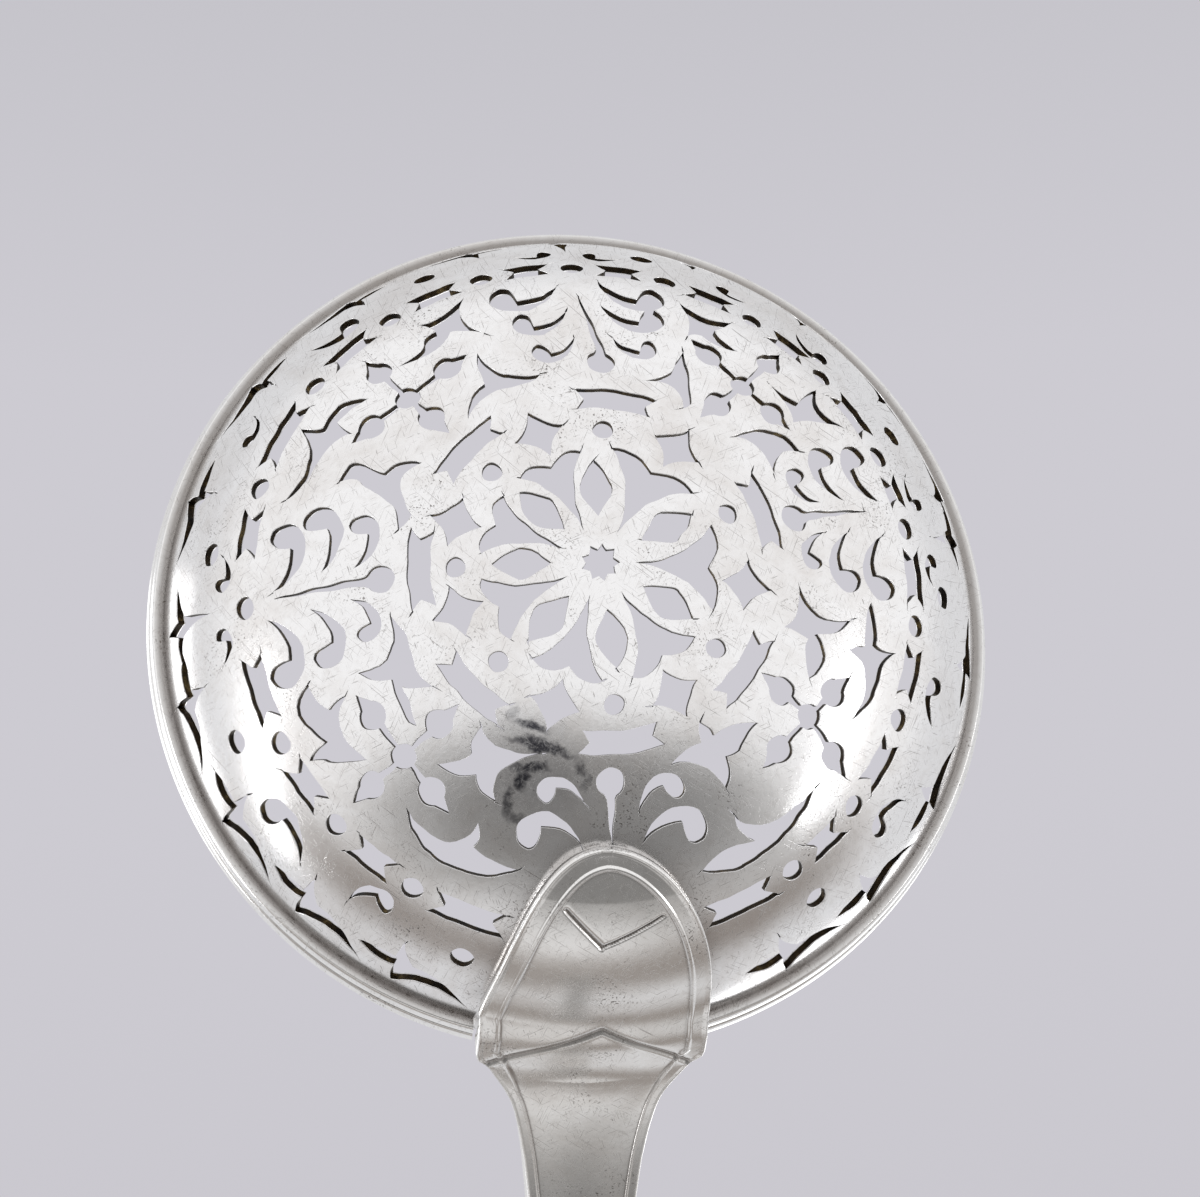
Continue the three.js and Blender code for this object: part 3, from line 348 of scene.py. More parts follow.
# Four palmettes: a club on each axis, and pairs of commas with their heads away from it.
PALMETTE_RING = 17.0
TONGUE_LENGTH = 21.6
tongue_tip_arc = LIP_ARC - TONGUE_LENGTH
palmettes = [
    (14, [(0, -0.4), (0.3, 6.6)],
     [[(1.6, 2), (3.8, 0.1)], [(1.8, 4.3), (5.8, 3.1)], [(2.5, 7.8), (6.9, 6.4)],
      [(-0.9, 2.5), (-3.5, 1.1)], [(-0.8, 5), (-4.8, 4.4)], [(-0.4, 8.8), (-4.7, 7.8)]]),
    (86, [(0.1, 0.6), (-1.5, 8.3)],
     [[(1.1, 3.4), (4.1, 2.5)], [(0.3, 7.4), (4.6, 6)], [(0.2, 10.9), (4.8, 8.8)],
      [(-2, 3.2), (-4.7, 1.5)], [(-2.6, 6.2), (-6.2, 4.8)], [(-3.2, 9.7), (-7.9, 8.2)]]),
    (181, [(0, 0), (-0.1, 9)],
     [[(1.2, 2.2), (4.7, 1.4)], [(1.3, 4.9), (5.8, 5.1)], [(0.4, 9.2), (5, 8.1)],
      [(-1.2, 2.6), (-4.1, 1.4)], [(-1.5, 6), (-5.5, 4.8)], [(-1.8, 9.8), (-6.5, 8.7)]]),
    (270.5, [(0, 0), (0, tongue_tip_arc * SHEET_RADIUS / LIP_ARC - PALMETTE_RING)],
     [[(2.1, 1.5), (5, 0.6)], [(2.4, 4.8), (6.5, 3.8)],
      [(-2.2, 2.4), (-5.1, 0.6)], [(-2.4, 4.9), (-6.7, 3.9)]]),
]
CLUB_RADIUS = 1.15
for bearing, ((head_x, head_y), tip), commas in palmettes:
    turn = np.radians(np.arange(28, 333, 16))
    head = [(head_x + CLUB_RADIUS * np.sin(a), head_y + CLUB_RADIUS * np.cos(a)) for a in turn]
    club = [(head_x + 0.4, head_y + 1.3), *head, (head_x - 0.4, head_y + 1.3), (tip[0] - 0.1, tip[1]), tip]
    for outline in [club, *(comma(tail, middle) for tail, middle in commas)]:
        holes.append(laid(outline, PALMETTE_RING, bearing))

# Four crosses: a hub, joined by saw slits to four round lobes that each end in a spike.
crosses = [
    (50.5, (0, -0.7), [(0.4, 4.1), (3.3, -0.4), (-0.6, -3.2), (-3.8, 0.7)]),
    (135.6, (0.9, -0.3), [(0.6, 3.9), (4.1, -0.6), (-0.3, -2.9), (-3.7, 0.6)]),
    (222, (0, 0), [(0.3, 3.5), (4, -0.5), (-0.2, -3.7), (-3.5, 0.4)]),
    (326.5, (0.9, -0.9), [(1.3, 3.7), (3.6, -0.7), (-0.3, -3.1), (-2.8, 0.8)]),
]
CROSS_RING = 21.3
LOBE_RADIUS = 1.15
SPIKE_LENGTH = 2.2
for bearing, (hub_x, hub_y), lobes in crosses:
    holes.append(laid(round_hole(1.05) + [hub_x, hub_y], CROSS_RING, bearing))
    for lobe_x, lobe_y in lobes:
        far = np.hypot(lobe_x, lobe_y)
        turn = np.radians(np.arange(163, 20, -11))
        half = [(0.18, 0.5), *((LOBE_RADIUS * np.sin(a), far + LOBE_RADIUS * np.cos(a)) for a in turn)]
        shape = np.array([*half, (0, far + SPIKE_LENGTH), *((-x, y) for x, y in reversed(half))])
        x = hub_x + (shape[:, 0] * lobe_y + shape[:, 1] * lobe_x) / far
        y = hub_y + (shape[:, 1] * lobe_y - shape[:, 0] * lobe_x) / far
        holes.append(laid(np.stack([x, y], -1), CROSS_RING, bearing))

# Between each palmette and cross, an inner sprig and an outer crescent with a thorn, all unlike.
sprigs = [
    (32, [0.7, 3.1], [-2.8, 3.4, -3.2, -1.9], [-2, 0.8, 1.3, -0.5], [-0.8, 1.3, 0.7, 3.1]),
    (68, [0.6, 3.8], [1.9, 1.6, 2.6, -1.1], [2.5, -1.6, 2.1, -1.9], [1.4, 0.8, -2.2, -0.9],
     [0.6, 0.3, 0.4, 2.3], [0.5, 3, 0.6, 3.8]),
    (111, [-1.2, 3.9], [-1, 1.3, 0.2, 0.8], [0.9, -0.1, 2.6, -0.3], [1.6, -1.1, -0.6, -0.4],
     [-3, -0.1, -4.4, -1.8], [-3.8, 0.4, -1.9, 0.7], [-1.9, 2.4, -1.2, 3.9]),
    (158, [0.2, 4.9], [2.9, 5, 2.1, 2.9], [1.8, 2.2, 1.9, 1.5], [3.6, 0.8, 3.4, -1.2],
     [2.3, -0.1, 1.6, -0.1], [0.3, -0.4, -1, -1.9], [-1.8, -1.8, -2.5, -1.3], [-0.9, -0.7, -0.6, 0],
     [0, 1.6, 0.5, 2.9], [1.2, 3.9, 0.2, 4.9]),
    (201.5, [0.1, 3.6], [-1.2, 0.2, 3, -0.6], [1, -1.4, -0.5, -0.9], [-2.4, -0.4, -3.6, -1.4],
     [-3.2, 0.2, -2.5, 0.8], [-4.2, 0.7, -5.8, 1.1], [-5.2, 2, -1.7, 1.4], [-1.3, 2.8, 0.1, 3.6]),
    (246, [0.6, 3.2], [2.3, 3.1, 2.9, 1.8], [4.1, 2.9, 6, 2.1], [4.2, 1.3, 3.8, 0.4],
     [4.5, -0.8, 3.8, -1.8], [2.6, 0, -1.4, -1.6], [1, -0.1, 1.3, 1.2], [1.3, 2.4, 0.6, 3.2]),
    (298, [0, 3.1], [0.1, -0.1, 3.2, -0.8], [1.6, -1.5, 0.2, -1.1], [0, -2.2, -0.6, -2.6],
     [-1.1, -1.8, -1.1, -1.1], [-3.2, -1.5, -4.7, -0.2], [-3.4, 0, -2.4, 1], [-1.8, 1.1, -1.2, 0.9],
     [-0.9, 2.8, 0, 3.1]),
    (350, [0.4, 4.1], [2.1, 3.2, 2.4, 1.1], [4, 3.2, 6.1, 0.9], [4.4, -0.1, 2.9, 0.3],
     [2.5, -0.8, 2.5, -1.9], [0.8, 0.1, -2.4, -1.6], [1.2, -0.2, 0.9, 2.6], [0.8, 3.4, 0.4, 4.1]),
    (32, [-3.6, 9.3], [-1.8, 6.6, 1.2, 9.8], [-1, 7.4, -1.8, 4.4], [-3, 5.3, -5.8, 5],
     [-4.2, 5.5, -3.1, 6.4], [-3.6, 7.8, -3.6, 9.3]),
    (68, [-1.2, 9.9], [1.8, 8, 3.9, 9.8], [3.4, 8.6, 2.6, 7.7], [3.2, 6.8, 5, 6.2], [3, 5.6, 1.8, 6.4],
     [0.9, 6.2, 0.6, 5.6], [0.8, 7.6, -1.2, 9.9]),
    (111, [-4.8, 10], [-2.4, 8.4, 0.9, 11.2], [-1.9, 8.4, 0.3, 5.6], [-1.3, 7.2, -2.1, 7.2],
     [-3.6, 5.2, -8, 6], [-5.4, 5.9, -4.7, 7], [-4.3, 8.1, -3.2, 8.1], [-3.7, 9.4, -4.8, 10]),
    (158, [-2.1, 9.1], [1.8, 6.9, 4.6, 10.4], [4.5, 9.2, 4.9, 8.4], [8.2, 8.4, 8.2, 5.3],
     [7, 6.6, 5.5, 7.1], [5, 6.2, 4.7, 5.3], [4.2, 7.3, 0.8, 7.5], [-1.2, 7.8, -2.1, 9.1]),
    (201.5, [-6.4, 5.7], [-6, 8, -4.9, 9.1], [-4.7, 9.6, -4.4, 10.3], [-3.8, 9.6, -3.6, 8.4],
     [0.6, 11, 1.2, 7.6], [0, 7.8, -1.4, 7], [-1, 6.1, -1.1, 5.2], [-3.2, 8, -6.4, 5.7]),
    (246, [-3.1, 7.4], [-1.6, 9.3, 1.6, 9.4], [5.6, 9.4, 7.2, 6], [5.6, 7.5, 3.3, 7.5],
     [1.7, 7.3, 1.3, 5.1], [0.6, 5.9, 0.9, 7.1], [-1, 7.8, -3.1, 7.4]),
    (298, [-7, 6.7], [-4.4, 9.2, 0, 9.5], [2.6, 9.9, 4.7, 7.9], [2.2, 6.8, -0.4, 8],
     [0.8, 6.8, 0.3, 5.1], [-0.3, 7.6, -3.9, 7.3], [-5.2, 7.2, -7, 6.7]),
    (350, [2, 9.1], [2.8, 7.7, 4.6, 7.6], [7.2, 7.3, 8.5, 5.2], [6.6, 6.7, 4.4, 6],
     [3.4, 5.6, 2.9, 4.1], [2.3, 4.9, 2.3, 5.7], [0.3, 5.2, -1.6, 5.8], [0.2, 7, 1.8, 6.8],
     [2.3, 7.6, 2, 9.1]),
]
for bearing, *strokes in sprigs:
    holes.append(laid(cut(*strokes), PALMETTE_RING, bearing))

# The border: dots, with a bar between each two whose notched ends leave an even web.
TONGUE_HALF_WIDTH = 9.1
BORDER_RING = 29.1
DOT_RADIUS = 0.92
WEB = 0.8
girth = girth_at(BORDER_RING)
dots = [
    303, 318, 335, 352, 369.7, 383.7, 401.2, 417, 433.5, 449.5, 465.2, 482.4, 500, 520.5, 541.6, 565.3, 581.4,
    597.4,
]
flank = np.degrees((TONGUE_HALF_WIDTH * 0.75 + DOT_RADIUS) / girth) - np.degrees((DOT_RADIUS + WEB) / girth)
# One dot stands farther from its bars than the rest.
LONE_DOT, LONE_GAP = 541.6, 4.6
spans = [(a + LONE_GAP * (a == LONE_DOT), b - LONE_GAP * (b == LONE_DOT)) for a, b in zip(dots, dots[1:])]
for low, high in [*spans, (dots[-1] - 360, HANDLE_BEARING - flank), (HANDLE_BEARING + flank, dots[0])]:
    end = np.radians(high - low) * girth / 2 - DOT_RADIUS - WEB
    along = np.linspace(-end, end, 9)
    bar = [*((x, 1.05) for x in along), (end - 0.95, 0), *((x, -1.05) for x in along[::-1]), (0.95 - end, 0)]
    holes.append(swayed(bar, BORDER_RING, (low + high) / 2))
for bearing in dots:
    holes.append(swayed(round_hole(DOT_RADIUS), BORDER_RING, bearing))

# Seeds and commas outside the border, and the rim's leaves and trefoils.
SEED_RING = 33.1
for bearing in [27, 77.7, 112.6, 171.4, 201, 248.7, 304.8, 358.8]:
    holes.append(swayed(round_hole(0.95), SEED_RING, bearing))
for bearing, tail, head in [
    (14.5, (-2.6, -2.4), (0, -2.1)), (38, (-6.3, -1), (-3.2, -1.9)), (62, (1.7, -1), (-0.9, -0.8)),
    (86, (2.6, -0.6), (0, -0.3)), (93.5, (-2.6, 0.2), (0, 0.1)), (127.2, (-3.8, 1.2), (0, 0)),
    (152, (2.2, 0.9), (-0.1, 0.1)), (176.7, (2.4, -1.6), (0, -1.5)), (184.8, (-2.5, -1.1), (0, -1.4)),
    (212.6, (-4.5, 1.5), (-0.1, 0.5)), (232.6, (1.4, 1.1), (-1.2, -0.9)), (319.6, (-3.2, 0.4), (0.1, -0.3)),
    (344, (3.3, -0.2), (0.1, -1.2)), (364.4, (2.5, -2.3), (0, -2.1)),
]:
    holes.append(bent(comma(tail, head), SEED_RING, bearing))
RIM_RING = 36.9
rim_leaf = cut(
    [-4, 2.7], [-0.6, -0.3, 2.4, 2.9], [2.7, 1.7, 2.6, 0.6], [4, 1.5, 6, 0.1], [4.2, -0.6, 2.8, -0.4],
    [2.8, -1.5, 2.5, -2.3], [2.1, -0.9, 1.2, -0.2], [-1.3, -0.6, -4, 2.7],
)
for bearing in [
    20.7, 38, 55, 74, 107.6, 126.9, 145.9, 165.4, 195.5, 212.9, 228.8, 244.8, 301.8, 317.3, 333.8, 354,
]:
    holes.append(bent(rim_leaf, RIM_RING, bearing))
trefoil = cut(
    [-3.4, 0.3], [-2, 1.3, -0.7, 0.8], [-0.5, 1.9, -0.1, 2.9], [0.3, 1.9, 0.5, 0.8], [2.1, 1.4, 3.6, 0.9],
    [1.9, 0.5, 0.8, -0.5], [0.4, -2.5, 0.2, -4.2], [0, -2, -0.9, -0.2], [-2, 0.4, -3.4, 0.3],
)
for bearing in [9.3, 90.2, 180.9]:
    holes.append(swayed(trefoil, RIM_RING, bearing))


def turned_left(outline):
    """The outline in the order that keeps the hole on its left."""
    x, y = outline.T
    return outline if (x * np.roll(y, -1) - y * np.roll(x, -1)).sum() > 0 else outline[::-1]


def sawn(outline, step=0.3, shake=0.05):
    """The outline as the saw left it: fine steps that stray a little from the drawn line."""
    points = []
    for (x0, y0), (x1, y1) in zip(outline, np.roll(outline, -1, axis=0)):
        count = max(1, int(np.hypot(x1 - x0, y1 - y0) / step))
        for t in np.arange(count) / count:
            x, y = x0 + (x1 - x0) * t, y0 + (y1 - y0) * t
            stray = np.sin(2.3 * y + 1.7 * np.sin(1.9 * x)), np.sin(2.1 * x + 1.6 * np.sin(2.4 * y + 1))
            points.append((x + shake * stray[0], y + shake * stray[1]))
    return np.array(points)


def within(points, outline):
    """Whether each point lies inside a closed outline."""
    x, y = points[..., 0, None], points[..., 1, None]
    (x0, y0), (x1, y1) = outline.T, np.roll(outline, -1, axis=0).T
    height = np.where(y1 == y0, 1e-9, y1 - y0)
    crossed = ((y0 > y) != (y1 > y)) & (x < x0 + (y - y0) * (x1 - x0) / height)
    return crossed.sum(-1) % 2 == 1


# Where two cuts meet in a sharp corner, the saw often ran on a little past it and left a nick.
# A corner is sharp by the sine and the cosine of its turn.
NICK_CHANCE = 0.62
NICK_ROOT = 0.12
LEAST_SINE = 0.2
MOST_COSINE = 0.45
holes = [turned_left(hole) for hole in holes]
luck = np.random.default_rng(7)
nicks = []
for hole in holes:
    for before, corner, after in zip(np.roll(hole, 1, axis=0), hole, np.roll(hole, -1, axis=0)):
        came, goes = corner - before, after - corner
        came, goes = came / max(np.hypot(*came), 1e-6), goes / max(np.hypot(*goes), 1e-6)
        chance, length, kerf = luck.random(), luck.uniform(0.25, 0.9), luck.uniform(0.09, 0.19)
        turns_by = came[0] * goes[1] - came[1] * goes[0]
        if turns_by < LEAST_SINE or came @ goes > MOST_COSINE or chance > NICK_CHANCE:
            continue
        on = came if chance < NICK_CHANCE / 2 else -goes
        side = np.array([-on[1], on[0]]) * kerf / 2
        bend = side * luck.uniform(-0.8, 0.8)
        root, middle = corner - on * NICK_ROOT, corner + on * length * 0.5
        nicks.append([
            root - side, root + side, middle + side * 0.8 + bend, corner + on * length + bend,
            middle - side * 0.8 + bend,
        ])
nicks = np.array(nicks)

# Only the nicks that run into whole metal stay: none reaches the rim, the narrow metal round the
# star or another hole.
NICK_TO_RIM = 0.5
ROUND_STAR = 3.2
whole = np.hypot(nicks[:, :, 0], nicks[:, :, 1]).max(1) < SHEET_RADIUS - NICK_TO_RIM
whole &= np.hypot(nicks[:, 3, 0], nicks[:, 3, 1]) > ROUND_STAR
for hole in holes:
    whole &= ~within(nicks[:, 2:], hole).any(1)
nicks = nicks[whole]

# The flat sheet in triangles, with every outline on it and evenly spread points between them.
MESH_PITCH = 0.62
CLEAR_OF_RIM = 0.4
CLEAR_OF_CUTS = 0.34
rim_turn = np.radians(np.arange(0, 360, 0.6))
edge = SHEET_RADIUS * np.stack([np.cos(rim_turn), np.sin(rim_turn)], -1)
outlines = [edge, *(sawn(hole) for hole in holes), *(turned_left(nick) for nick in nicks)]
spots = np.concatenate(outlines)
rings = []
start = 0
for outline in outlines:
    rings.append(list(range(start, start + len(outline))))
    start += len(outline)
tree = KDTree(len(spots))
for i, (x, y) in enumerate(spots):
    tree.insert((x, y, 0), i)
tree.balance()
sheet_points = []
for row, y in enumerate(np.arange(-SHEET_RADIUS, SHEET_RADIUS, MESH_PITCH * 0.866)):
    for x in np.arange(-SHEET_RADIUS + MESH_PITCH / 2 * (row % 2), SHEET_RADIUS, MESH_PITCH):
        if np.hypot(x, y) < SHEET_RADIUS - CLEAR_OF_RIM and tree.find((x, y, 0))[2] > CLEAR_OF_CUTS:
            sheet_points.append((x, y))
corners, _, faces, _, _, inside_of = delaunay_2d_cdt(
    [Vector(p) for p in [*spots, *sheet_points]], [], rings, 0, 1e-6
)
corners = np.array([tuple(c) for c in corners])
metal = []
for face, owners in zip(faces, inside_of):
    if list(owners) != [0]:
        continue
    a, b, c = (corners[k] for k in face)
    turn = (b[0] - a[0]) * (c[1] - a[1]) - (b[1] - a[1]) * (c[0] - a[0])
    metal.append(tuple(face) if turn > 0 else tuple(reversed(face)))

# A sliver that two crossing saw cuts free drops out: what is kept hangs together.
neighbours = {}
for i, (a, b, c) in enumerate(metal):
    for pair in ((a, b), (b, c), (c, a)):
        neighbours.setdefault((min(pair), max(pair)), []).append(i)
touching = [[] for _ in metal]
for pair in neighbours.values():
    if len(pair) == 2:
        touching[pair[0]].append(pair[1])
        touching[pair[1]].append(pair[0])
loose = set(range(len(metal)))
largest = []
while loose:
    group = [loose.pop()]
    for i in group:
        for other in touching[i]:
            if other in loose:
                loose.discard(other)
                group.append(other)
    if len(group) > len(largest):
        largest = group
metal = [metal[i] for i in sorted(largest)]

# The edges of every cut, and at each corner on them the way into the cut.
directed = {(f[k], f[(k + 1) % 3]) for f in metal for k in range(3)}
cut_edges = sorted((a, b) for a, b in directed if (b, a) not in directed)
away = np.zeros((len(corners), 2))
for a, b in cut_edges:
    along = corners[b] - corners[a]
    side = np.array([along[1], -along[0]]) / max(np.hypot(*along), 1e-9)
    away[a] += side
    away[b] += side
away /= np.maximum(np.linalg.norm(away, axis=1), 1e-9)[:, None]


def raised(points, share):
    """Points of the flat sheet, carried onto the bowl, in metres, at a share of its wall inwards."""
    reach = np.hypot(points[:, 0], points[:, 1])
    bearing = np.degrees(np.arctan2(points[:, 1], points[:, 0]))
    outer_part = np.clip((reach - THICKER_FROM) / (SHEET_RADIUS - THICKER_FROM), 0, 1)
    lift = -share * (MIDDLE_WALL + (RIM_WALL - MIDDLE_WALL) * outer_part)
    return (on_back(reach * LIP_ARC / SHEET_RADIUS, bearing, lift) + [0, BOWL_AXIS_Y, 0]) * MM


def facing(points, sideways, tilt):
    """Unit normals: tilt 1 is the skin's own, 0 lies along the sheet, -1 is the inner skin's."""
    reach = np.hypot(points[:, 0], points[:, 1])
    slope = np.interp(reach / SHEET_RADIUS, shares, slopes)
    angle = np.arctan2(points[:, 1], points[:, 0])
    radial = np.stack([-np.cos(angle), np.sin(angle), 0 * angle], -1)
    round_way = np.stack([np.sin(angle), np.cos(angle), 0 * angle], -1)
    upright = np.array([0, 0, 1.0])
    skin_normal = radial * np.sin(slope)[:, None] - upright * np.cos(slope)[:, None]
    uphill = radial * np.cos(slope)[:, None] + upright * np.sin(slope)[:, None]
    out = (sideways * np.stack([np.cos(angle), np.sin(angle)], -1)).sum(1)
    round_share = (sideways * np.stack([-np.sin(angle), np.cos(angle)], -1)).sum(1)
    wall = uphill * out[:, None] + round_way * round_share[:, None]
    mixed = tilt * skin_normal + np.sqrt(1 - tilt * tilt) * wall
    return mixed / np.maximum(np.linalg.norm(mixed, axis=1), 1e-9)[:, None]


# The wall of a cut, in rings from the outer skin to the inner: share of the wall's thickness, how
# far the metal stands into the cut, and the tilt of its face. The middle two bands were only sawn.
wall_rings = [(0.05, 0.02, 0.6), (0.14, 0.03, 0.0), (0.5, 0.035, 0.0), (0.86, 0.03, 0.0), (0.95, 0.02, -0.6)]
SAWN_BANDS = (2, 3)
on_edge = sorted({k for pair in cut_edges for k in pair})
count, edge_count = len(corners), len(on_edge)
edge_points, edge_away = corners[on_edge], away[on_edge]
points = [raised(corners, 0), raised(corners, 1)]
normals = [facing(corners, away, 1.0), facing(corners, away, -1.0)]
for share, step, tilt in wall_rings:
    points.append(raised(edge_points + edge_away * step, share))
    normals.append(facing(edge_points, edge_away, tilt))
polygons = metal + [(c + count, b + count, a + count) for a, b, c in metal]
surfaces = [0] * len(polygons)
every, ring_place = np.arange(count), np.zeros(count, dtype=int)
ring_place[on_edge] = np.arange(edge_count)
levels = [every, *(2 * count + r * edge_count + ring_place for r in range(len(wall_rings))), every + count]
levels = [level.tolist() for level in levels]
for a, b in cut_edges:
    for r, (upper, lower) in enumerate(zip(levels, levels[1:])):
        polygons.append((upper[b], upper[a], lower[a], lower[b]))
        surfaces.append(1 if r in SAWN_BANDS else 0)

bowl_mesh = bpy.data.meshes.new("pierced_bowl")
bowl_mesh.from_pydata(np.concatenate(points).tolist(), [], polygons)
bowl_mesh.polygons.foreach_set("use_smooth", [True] * len(polygons))
bowl_mesh.polygons.foreach_set("material_index", surfaces)
bowl_mesh.normals_split_custom_set_from_vertices(np.concatenate(normals).tolist())
bowl = bpy.data.objects.new("pierced_bowl", bowl_mesh)
scene.collection.objects.link(bowl)


def noise(tree, place, scale, detail, roughness=0.5, distortion=0.0):
    """The outputs of a noise texture."""
    return node(
        tree, "ShaderNodeTexNoise", Vector=place, Scale=scale, Detail=detail, Roughness=roughness,
        Distortion=distortion,
    ).outputs


def scratches(tree, place, angle, length, width):
    """Hairline scratches in one direction, as a mask."""
    turned = node(tree, "ShaderNodeVectorRotate", rotation_type="AXIS_ANGLE", Vector=place, Angle=angle)
    turned.inputs["Axis"].default_value = (0.3, 0.35, 0.89)
    drawn = node(
        tree, "ShaderNodeMapping", Vector=turned.outputs[0], Scale=(1 / length, 1 / width, 0.4 / length)
    )
    return ramp(tree, noise(tree, drawn.outputs[0], 1.0, 1.0)["Fac"], [(0.70, 0.0), (0.73, 1.0)])


def strongest(tree, *masks):
    """The highest of several masks."""
    total = masks[0]
    for mask in masks[1:]:
        total = reckoned(tree, "MAXIMUM", total, mask)
    return total


def laid_over(tree, colour, mask, share, tint):
    """A tint laid over a colour, as strong as the mask times its share."""
    return blended(tree, reckoned(tree, "MULTIPLY", mask, share), colour, tint)


def bumped(tree, height, strength, distance, **values):
    """A relief, laid on another one if that is given as Normal."""
    return node(
        tree, "ShaderNodeBump", Strength=strength, Distance=distance, Height=height, **values
    ).outputs[0]


def metal_surface(tree, colour, metallic, roughness, normal):
    """Ends a material's tree in a metal with this colour, roughness and relief."""
    shader = node(
        tree, "ShaderNodeBsdfPrincipled", Base_Color=colour, Metallic=metallic, Roughness=roughness,
        Normal=normal,
    )
    tree.links.new(shader.outputs[0], node(tree, "ShaderNodeOutputMaterial").inputs[0])


GRIME = (0.50, 0.46, 0.43, 1)
PIT_BROWN = (0.13, 0.11, 0.10, 1)
SCRATCH_GREY = (0.22, 0.20, 0.19, 1)
# The brown of the painted shade along seams, grooves and cuts.
SHADE_BROWN = (0.085, 0.06, 0.045, 1)
HAIR_RUNS = [
    (0.45, 0.0014, 0.00006), (1.25, 0.0022, 0.00005), (2.05, 0.0009, 0.00007), (2.75, 0.0028, 0.00006),
]


def worn_silver(name, bright, film, roughness, film_share, scratched, painted_reflection=None):
    """Old polished silver: faint hammer marks, hairlines, pits and a thin warm film in places."""
    made, tree = bare_material(name)
    place = node(tree, "ShaderNodeTexCoord").outputs["Object"]
    cloud = noise(tree, place, 85.0, 8.0, 0.68, 0.4)["Fac"]
    grain = noise(tree, place, 1500.0, 3.0, 0.6)["Fac"]
    dots = ramp(tree, noise(tree, place, 5200.0, 2.0, 0.55)["Fac"], [(0.60, 0.0), (0.65, 1.0)])
    here = ramp(tree, noise(tree, place, 190.0, 4.0, 0.65)["Fac"], [(0.52, 0.0), (0.66, 1.0)])
    pits = reckoned(tree, "MULTIPLY", dots, here)
    hairs = strongest(tree, *(scratches(tree, place, *run) for run in HAIR_RUNS))
    # Painted shade along seams, grooves and cuts, read from a point attribute.
    seam = node(tree, "ShaderNodeAttribute", attribute_name="painted_shade").outputs["Fac"]
    colour = laid_over(tree, bright, ramp(tree, cloud, [(0.46, 0.0), (0.68, 1.0)]), film_share, film)
    colour = laid_over(tree, colour, ramp(tree, grain, [(0.52, 0.0), (0.68, 1.0)]), 0.12, GRIME)
    colour = laid_over(tree, colour, pits, 0.85, PIT_BROWN)
    colour = laid_over(tree, colour, hairs, scratched, SCRATCH_GREY)
    colour = laid_over(tree, colour, seam, 1.0, SHADE_BROWN)
    # A painted reflection, where one is given.
    if painted_reflection:
        colour = painted_reflection(tree, place, colour)
    worn = reckoned(tree, "ADD", cloud, hairs)
    rough = fade(tree, worn, 0.2, 1.6, roughness - 0.05, roughness + 0.22, curve="LINEAR")
    hammered = bumped(tree, noise(tree, place, 170.0, 1.0)["Fac"], 0.3, 0.0002)
    grained = bumped(tree, grain, 0.07, 0.0001, Normal=hammered)
    marked = bumped(tree, strongest(tree, hairs, pits), 0.12, 0.00003, invert=True, Normal=grained)
    metal_surface(tree, colour, 1.0, rough, marked)
    return made


# A painted dark reflection, in streaks round the head of a comma: middle, from the
# bowl's axis, half length and half width in millimetres, lean in degrees and strength.
REFLECTION_STREAKS = [
    (5.5, -12.6, 1.5, 0.42, 23, 1.0), (4.8, -14.0, 2.9, 0.48, 16, 1.0), (5.6, -15.4, 1.8, 0.45, 3, 1.0),
    (6.3, -16.4, 1.0, 0.6, 100, 1.0), (7.2, -17.8, 1.3, 0.42, 90, 0.85), (6.6, -19.1, 1.1, 0.4, 50, 0.7),
    (1.7, -15.6, 0.6, 0.4, 60, 0.8), (1.3, -16.7, 0.7, 0.28, 100, 0.6), (6.9, -11.6, 0.8, 0.5, 110, 0.45),
    (5.4, -15.4, 4.2, 3.4, 40, 0.32),
]
REFLECTION_SWIRL = 1.6
REFLECTION_BLACK = (0.04, 0.04, 0.055, 1)


def bowl_reflection(tree, place, colour):
    """A painted dark reflection between the flower and the tongue, on the outer skin alone."""
    strayed = node(
        tree, "ShaderNodeVectorMath", operation="MULTIPLY_ADD", i0=noise(tree, place, 700.0, 4.0, 0.6)["Color"],
        i1=(REFLECTION_SWIRL * MM, REFLECTION_SWIRL * MM, 0), i2=place,
    )
    masks = []
    for x, y, length, width, lean, strength in REFLECTION_STREAKS:
        x, y = x + REFLECTION_SWIRL / 2, BOWL_AXIS_Y + y + REFLECTION_SWIRL / 2
        spot = node(
            tree, "ShaderNodeMapping", vector_type="TEXTURE", Vector=strayed.outputs[0],
            Location=(x * MM, y * MM, 0), Rotation=(0, 0, np.radians(lean)), Scale=(length * MM, width * MM, 1),
        )
        far = node(tree, "ShaderNodeVectorMath", operation="LENGTH", i0=spot.outputs[0]).outputs["Value"]
        masks.append(fade(tree, far, 0.35, 1.5, strength, 0.0))
    left = ramp(tree, noise(tree, place, 1500.0, 5.0, 0.7, 1.5)["Fac"], [(0.34, 0.5), (0.54, 1.0)])
    body = reckoned(tree, "MULTIPLY", strongest(tree, *masks), left)
    faces_to = node(tree, "ShaderNodeSeparateXYZ", Vector=node(tree, "ShaderNodeNewGeometry").outputs["Normal"])
    outer = fade(tree, faces_to.outputs["Z"], -0.3, 0.1, 1.0, 0.0, curve="LINEAR")
    return laid_over(tree, colour, reckoned(tree, "MULTIPLY", body, outer), 0.95, REFLECTION_BLACK)


def sawn_wall():
    """The walls of the saw cuts, never polished: brown and black with old polish and tarnish."""
    made, tree = bare_material("sawn_wall")
    place = node(tree, "ShaderNodeTexCoord").outputs["Object"]
    crust = noise(tree, place, 700.0, 5.0, 0.7)["Fac"]
    colour = ramp(
        tree, crust,
        [(0.36, (0.006, 0.004, 0.003, 1)), (0.56, (0.035, 0.022, 0.009, 1)), (0.74, (0.20, 0.145, 0.06, 1))],
    )
    metal_surface(tree, colour, 0.8, 0.5, bumped(tree, crust, 0.6, 0.0002))
    return made


